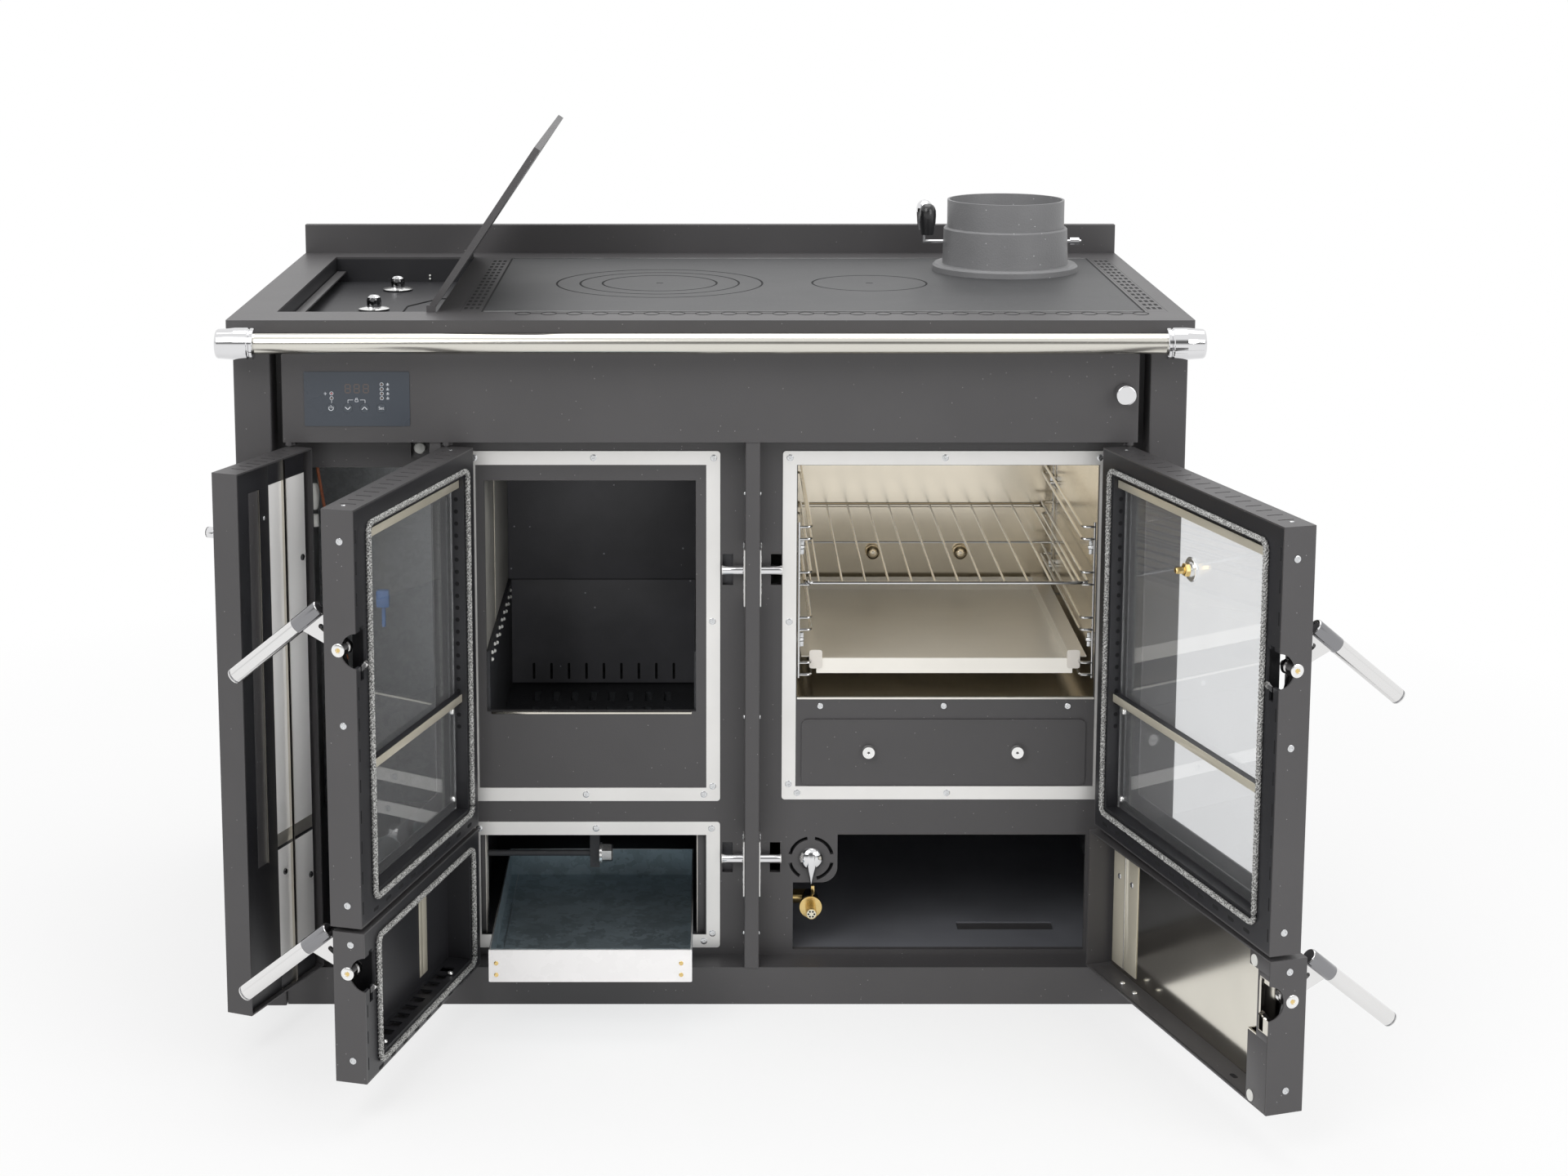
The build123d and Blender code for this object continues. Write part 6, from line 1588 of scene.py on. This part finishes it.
@dataclass
class SealedDoor(HungDoor):
    """A latched door with a rope seal on its back."""

    bottom_slots: int = 9
    side_slots: int = 13
    latch_clearance: float = 34.0
    rope_radius: float = 3.4
    rope_corner: float = 9.0
    rope_inset: float = 8.5
    rope_proud: float = 2.8

    def build(self) -> None:
        """The seal and the painted shade of the slots round it."""
        super().build()
        self.seal()
        self.back_slots()

    def seal(self) -> None:
        """Rope laid in a ring on the leaf's back, along the middle of the stainless frame."""
        left, right, bottom, top = self.trim
        inset, y, name = self.rope_inset, self.leaf.back + self.rope_proud, self.leaf.name
        ring = [(left + inset, y, bottom + inset), (right - inset, y, bottom + inset),
                (right - inset, y, top - inset), (left + inset, y, top - inset)]
        self.kit.ropes.lay(f"{name}_rope", ring, self.rope_radius, self.rope_corner, name,
                           self.leaf.swing(), (f"{name}_gasket",))

    def back_slots(self) -> None:
        """Painted shade of the slots along the free and the lower edge of the back, as flat black tablets
        clear of the latch.
        """
        leaf = self.leaf
        up = (self.trim[2] + 3.5 + leaf.bottom) / 2
        places = [(leaf.from_hinge(30.0 + n * 36.0), leaf.back, up) for n in range(self.bottom_slots)]
        self.fit("bottom_slots", places, BACK_FACING, tablet(14.0, 4.2, MARK), SHADOW, ACROSS)
        ups = spaced(leaf.bottom + 22.0, leaf.top - 30.0, self.side_slots)
        side = [(leaf.from_free(6.0), leaf.back, z) for z in ups
                if abs(z - leaf.latch_z) > self.latch_clearance]
        self.fit("side_slots", side, BACK_FACING, tablet(15.0, 2.2, MARK), SHADOW)


@dataclass
class GlazedDoor(SealedDoor):
    """A sealed door with ceramic glass, its holding bars and the air holes beside it."""

    glass_back: float = CASING_FRONT + 22.0

    def finishes(self) -> Surfaces:
        """As the other doors, with glass."""
        return {**super().finishes(), f"{self.leaf.name}_glass": GLASS}

    def build(self) -> None:
        """Air holes as flat black discs of painted shade, glass bars and their screws."""
        super().build()
        leaf, back = self.leaf, self.glass_back
        left, right, top = self.trim[0] + TRIM_WIDTH, self.trim[1] - TRIM_WIDTH, self.trim[3] - TRIM_WIDTH
        wall = left if leaf.side > 0 else right
        holes = [(wall, CASING_FRONT + 27.0, z) for z in spaced(368.0, 648.0, 20)]
        self.fit("air_holes", holes, (float(leaf.side), 0.0, 0.0), disc(2.7, 0.15, 12), SHADOW)
        bars = Shape()
        for z in (top - 13.0, leaf.bottom + 165.5):
            bars.box((left + 1.0, back + 0.5, z - 0.6), (right - 1.0, back + 9.6, z + 0.8), 0.3)
            bars.box((left + 1.0, back + 8.6, z - 0.6), (right - 1.0, back + 9.8, z + 9.0), 0.3)
        self.fix(f"{leaf.name}_glass_bars", bars, WARM_PLATE)
        screws = [(x, back, leaf.bottom + up) for x in (leaf.from_hinge(44.0), leaf.from_free(44.0))
                  for up in (155.0, 45.0)]
        self.fit("glass_screws", screws, BACK_FACING, Fastener(Head.RIVET, 4.4, 3.4).mesh(), WHITE_ZINC)


@dataclass
class OvenDoor(GlazedDoor):
    """The oven's glazed door with its thermometer."""

    def finishes(self) -> Surfaces:
        """Adds the thermometer."""
        return {**super().finishes(), "oven_thermometer": CHROME}

    def build(self) -> None:
        """Thermometer nut and stem."""
        super().build()
        leaf = self.leaf
        place = leaf.swing() @ at(leaf.from_hinge(208.0), self.glass_back, 603.6) @ turn(-90.0, "X")
        plate = [(0.0, 0.0), (14.2, 0.0), (14.3, 1.2), (13.4, 2.2), (9.0, 2.4), (8.6, 5.2), (0.0, 5.3)]
        stem = [(0.0, 5.0), (8.0, 5.0), (8.0, 9.4), (6.6, 10.4), (4.4, 10.6), (4.2, 19.0), (3.2, 20.4),
                (0.0, 20.6)]
        self.make("thermometer_plate", Shape().lathe(plate, place, 36), WHITE_ZINC, leaf.name)
        self.make("thermometer_stem", Shape().lathe(stem, place, 6), BRASS, leaf.name, ("oven_thermometer",))


@dataclass
class AshDoor(SealedDoor):
    """The ash door, with the bright slot in its recess."""

    def build(self) -> None:
        """The stainless slot and two screws."""
        super().build()
        leaf, y = self.leaf, CASING_FRONT + 8.0
        areas = ((104.0, 118.0, 84.0, 203.0), (119.0, 128.0, 84.0, 203.0))
        self.fix("ash_door_slot_plate", leaf.plates(areas, y, y + 0.8, 0.3), WARM_PLATE)
        screws = [(leaf.from_hinge(d), CASING_FRONT + 30.5, 75.2) for d in (86.0, 292.0)]
        self.fit("recess_screws", screws, UP, Fastener(Head.RIVET, 3.4, 3.0).mesh(), WHITE_ZINC)


@dataclass
class StorageDoor(HungDoor):
    """The storage door with its polished inner sheets."""

    def build(self) -> None:
        """Plates, screws and bumpers of the inner side."""
        super().build()
        leaf, y = self.leaf, CASING_FRONT + 14.0
        areas = ((12.5, 44.0, 62.0, 224.5), (46.2, 76.0, 62.0, 224.5))
        self.fix("storage_hinge_plates", leaf.plates(areas, y, y + 1.0, 0.3), WARM_PLATE)
        self.fix("storage_plate_seam", leaf.plates([(44.4, 45.8, 62.0, 224.5)], y, y + 2.6, 0.3), WHITE_ZINC)
        screws = [(leaf.from_hinge(d), y + 1.0, 176.0) for d in (28.0, 61.0)]
        self.fit("plate_screws", screws, BACK_FACING, Fastener(Head.CROSS, 3.8, 1.4).mesh(), ZINC_SCREW)
        bumpers = [(leaf.from_free(34.0), leaf.back, z) for z in (218.4, 63.5)]
        self.fit("bumpers", bumpers, BACK_FACING, disc(6.6, 1.4, 28), WHITE_PLASTIC)
        self.free_lip()

    def free_lip(self) -> None:
        """Painted lip along the free edge, round the latch and the draft knob."""
        leaf = self.leaf
        lip = Shape()
        areas = ((2.2, 43.8, 56.2, 136.0), (2.2, 43.8, 211.4, 226.8), (2.2, 25.6, 136.0, 144.0),
                 (2.2, 25.6, 206.0, 211.4), (22.6, 25.6, 144.0, 206.0))
        for near, far, low, high in areas:
            lip.box((leaf.from_free(near), leaf.back - 0.1, low),
                    (leaf.from_free(far), leaf.back + 0.3, high), 0.08)
        self.fix("storage_free_lip", lip, CASING)
        flange = Shape().box((leaf.from_hinge(14.0), CASING_FRONT + 14.2, 56.1),
                             (leaf.from_free(46.2), leaf.back - 2.4, 57.0), 0.2)
        self.fix("storage_low_flange", flange, CASING)
        screws = [(leaf.from_hinge(d), CASING_FRONT + 30.0, 57.0) for d in (72.0, 104.0)]
        self.fit("flange_screws", screws, UP, Fastener(Head.CROSS, 3.6, 2.2).mesh(), WHITE_ZINC)
        # A flat black tablet: painted shade in the flange's slot.
        self.fit("flange_slot", [(leaf.from_free(96.0), CASING_FRONT + 30.0, 57.0)], UP,
                 tablet(13.0, 6.0, MARK), SHADOW, ACROSS)


@dataclass
class AshPan(SubAssembly):
    """Galvanised pan with folded walls, pulled out."""

    left: float = -265.0
    right: float = -22.0
    front: float = -427.8

    def finishes(self) -> Surfaces:
        """Zinc sheet."""
        return {"ash_pan": PAN_INSIDE}

    def build(self) -> None:
        """Pale front, rims and rivets. The rims' lighter zinc and the thin strip along the fold in the floor
        are painted highlight.
        """
        left, right, y, end = self.left, self.right, self.front, self.front + 359.0
        outline = rounded([(left, 74.5), (right, 74.5), (right, 114.0), (left, 114.0)], 2.0)
        front = Shape().prism(outline, 0.5, at(0.0, y, 0.0) @ turn(90.0, "X"))
        front.box((left, y - 0.5, 113.6), (right, y + 2.0, 114.4), 0.3)
        self.make("ash_pan_front", front, PALE_ZINC, "ash_pan")
        # Lighter zinc strips on the rims and along the floor's fold: painted highlight.
        rims = Shape()
        for x in (left + 0.8, right - 0.8):
            rims.box((x - 1.0, y + 1.6, 111.4), (x + 1.0, end, 112.6), 0.4)
        rims.box((left + 0.5, end - 1.6, 111.4), (right - 0.5, end + 0.2, 112.6), 0.4)
        rims.box((left + 10.0, y + 14.0, 77.2), (left + 10.8, end - 2.0, 77.6), 0.1)
        self.make("ash_pan_rims", rims, GALVANISED, "ash_pan")
        spots = [Spot((x, y - 0.5, z), FRONT_FACING) for x in (left + 9.0, right - 13.0)
                 for z in (98.0, 83.5)]
        self.scatter("ash_pan_rivets", spots, Fastener(Head.RIVET, 2.7, 0.9).mesh(), BRASS, "ash_pan")


@dataclass
class Studio:
    """Camera, pale floor and soft light."""

    camera_place: Xyz = (-2.0, -3476.9, 1333.9)
    lens: float = 61.641
    sensor: float = 36.0
    pitch: float = 9.257
    shift: Pair = (0.048, -0.15)
    far_end: float = 50.0
    floor_half: float = 15000.0
    floor_depth: float = 20.0
    band_up: float = 0.33
    band_fall: float = 4.5
    band_full: float = 1.5
    front_rise: float = 3.0
    front_start: float = 0.9
    darkest: float = 0.85
    soft_level: float = 0.5

    def camera(self) -> None:
        """Set the camera at the photograph's angle."""
        data = bpy.data.cameras.new("camera")
        data.lens = self.lens
        data.sensor_width = self.sensor
        data.shift_x, data.shift_y = self.shift
        data.clip_end = self.far_end
        camera = link("camera", data)
        camera.location = Vector(self.camera_place) * MM
        camera.rotation_euler = (radians(90.0 - self.pitch), 0.0, 0.0)
        bpy.context.scene.camera = camera

    def floor(self) -> None:
        """A pale floor that keeps the stove's shadow and fades to white further out."""
        half = self.floor_half
        data = Shape().box((-half, -half, -self.floor_depth), (half, half, 0.0)).mesh_data("floor")
        material = bpy.data.materials.new("floor_paper")
        data.materials.append(material)
        sheet = NodeSheet(material)
        place = sheet.add("TexCoord").outputs["Object"]
        grain = sheet.add("TexNoise", Vector=place, Scale=2.0).outputs["Fac"]
        paper = sheet.add("BsdfDiffuse", Color=sheet.ramp(grain, (0.9, 0.9, 0.9), (0.93, 0.93, 0.93)))
        glow = sheet.add("Emission", Color=WHITE, Strength=1.0)
        path = sheet.add("LightPath").outputs
        clear = sheet.math("MAXIMUM", path["Is Camera Ray"], path["Is Transmission Ray"])
        seen = sheet.math("MAXIMUM", clear, path["Is Glossy Ray"])
        away = sheet.add("VectorMath", place, operation="LENGTH").outputs["Value"]
        blend = sheet.add("MapRange", Value=away, From_Min=0.7, From_Max=1.9, To_Min=0.72, To_Max=1.0)
        share = sheet.math("MULTIPLY", seen, blend.outputs["Result"])
        sheet.finish(sheet.add("MixShader", share, paper.outputs[0], glow.outputs[0]).outputs[0])
        floor = link("floor", data)

    def world(self) -> None:
        """A white room with a dark far end behind the camera, which only polished metal shows."""
        world = bpy.data.worlds.new("studio")
        sheet = NodeSheet(world)
        math = sheet.math
        path = sheet.add("LightPath").outputs
        split = sheet.add("SeparateXYZ", sheet.add("TexCoord").outputs["Generated"]).outputs
        off_band = math("ABSOLUTE", math("ADD", split[2], -self.band_up))
        low_band = math("MULTIPLY_ADD", off_band, -self.band_fall, self.band_full)
        frontal = math("MULTIPLY_ADD", split[1], -self.front_rise, -self.front_start)
        dark = math("MULTIPLY", low_band, frontal)
        seen = math("MAXIMUM", path["Is Camera Ray"], path["Is Transmission Ray"])
        mirror = math("MULTIPLY_ADD", dark, -self.darkest, 1.0)
        level = math("MAXIMUM", seen, math("MULTIPLY", path["Is Glossy Ray"], mirror))
        diffuse = math("SUBTRACT", 1.0, math("MAXIMUM", seen, path["Is Glossy Ray"]))
        soft = math("MULTIPLY", diffuse, self.soft_level)
        sky = sheet.add("Background", Color=WHITE, Strength=math("ADD", level, soft))
        sheet.finish(sky.outputs[0], "World")
        bpy.context.scene.world = world

    def lamp(self, name: str, place: Xyz, target: Xyz, size: float, power: float) -> None:
        """A soft square lamp, with place and target in metres."""
        data = bpy.data.lights.new(name, "AREA")
        data.size = size
        data.energy = power
        lamp = link(name, data)
        lamp.location = place
        lamp.rotation_mode = "QUATERNION"
        lamp.rotation_quaternion = (Vector(target) - Vector(place)).to_track_quat("-Z", "Y")

    def build(self) -> None:
        """Set up the whole stage."""
        bpy.context.scene.view_settings.view_transform = "Standard"
        self.camera()
        self.floor()
        self.world()
        self.lamp("key", (-1.8, -3.2, 3.2), (0.0, 0.0, 0.5), 2.4, 67.0)
        self.lamp("fill", (2.4, -2.8, 2.0), (0.2, 0.0, 0.4), 2.0, 34.0)
        self.lamp("top", (0.2, 0.4, 3.4), (0.0, 0.0, 0.8), 2.6, 44.0)


def main() -> None:
    """Load the frame, build the stage and every sub-assembly."""
    logging.basicConfig(level=logging.INFO, format="%(name)s: %(message)s")
    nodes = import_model()["nodes"]
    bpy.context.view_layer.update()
    Studio().build()
    kit = Kit()
    plain = (Casing, Worktop, Handrail, Flue, ControlPanel, Firebox, Oven, Storage, Utility, LeftDoor)
    groups = [*(kind(kit, nodes) for kind in plain), GlazedDoor(kit, nodes, FIRE, FIRE_TRIM),
              OvenDoor(kit, nodes, OVEN, OVEN_TRIM, bottom_slots=11),
              AshDoor(kit, nodes, ASH, ASH_TRIM, side_slots=5),
              StorageDoor(kit, nodes, STORE, inner=MIRROR), AshPan(kit, nodes)]
    for group in groups:
        LOG.info("building %s", type(group).__name__)
        group.dress()
        group.build()


if __name__ == "__main__":
    main()
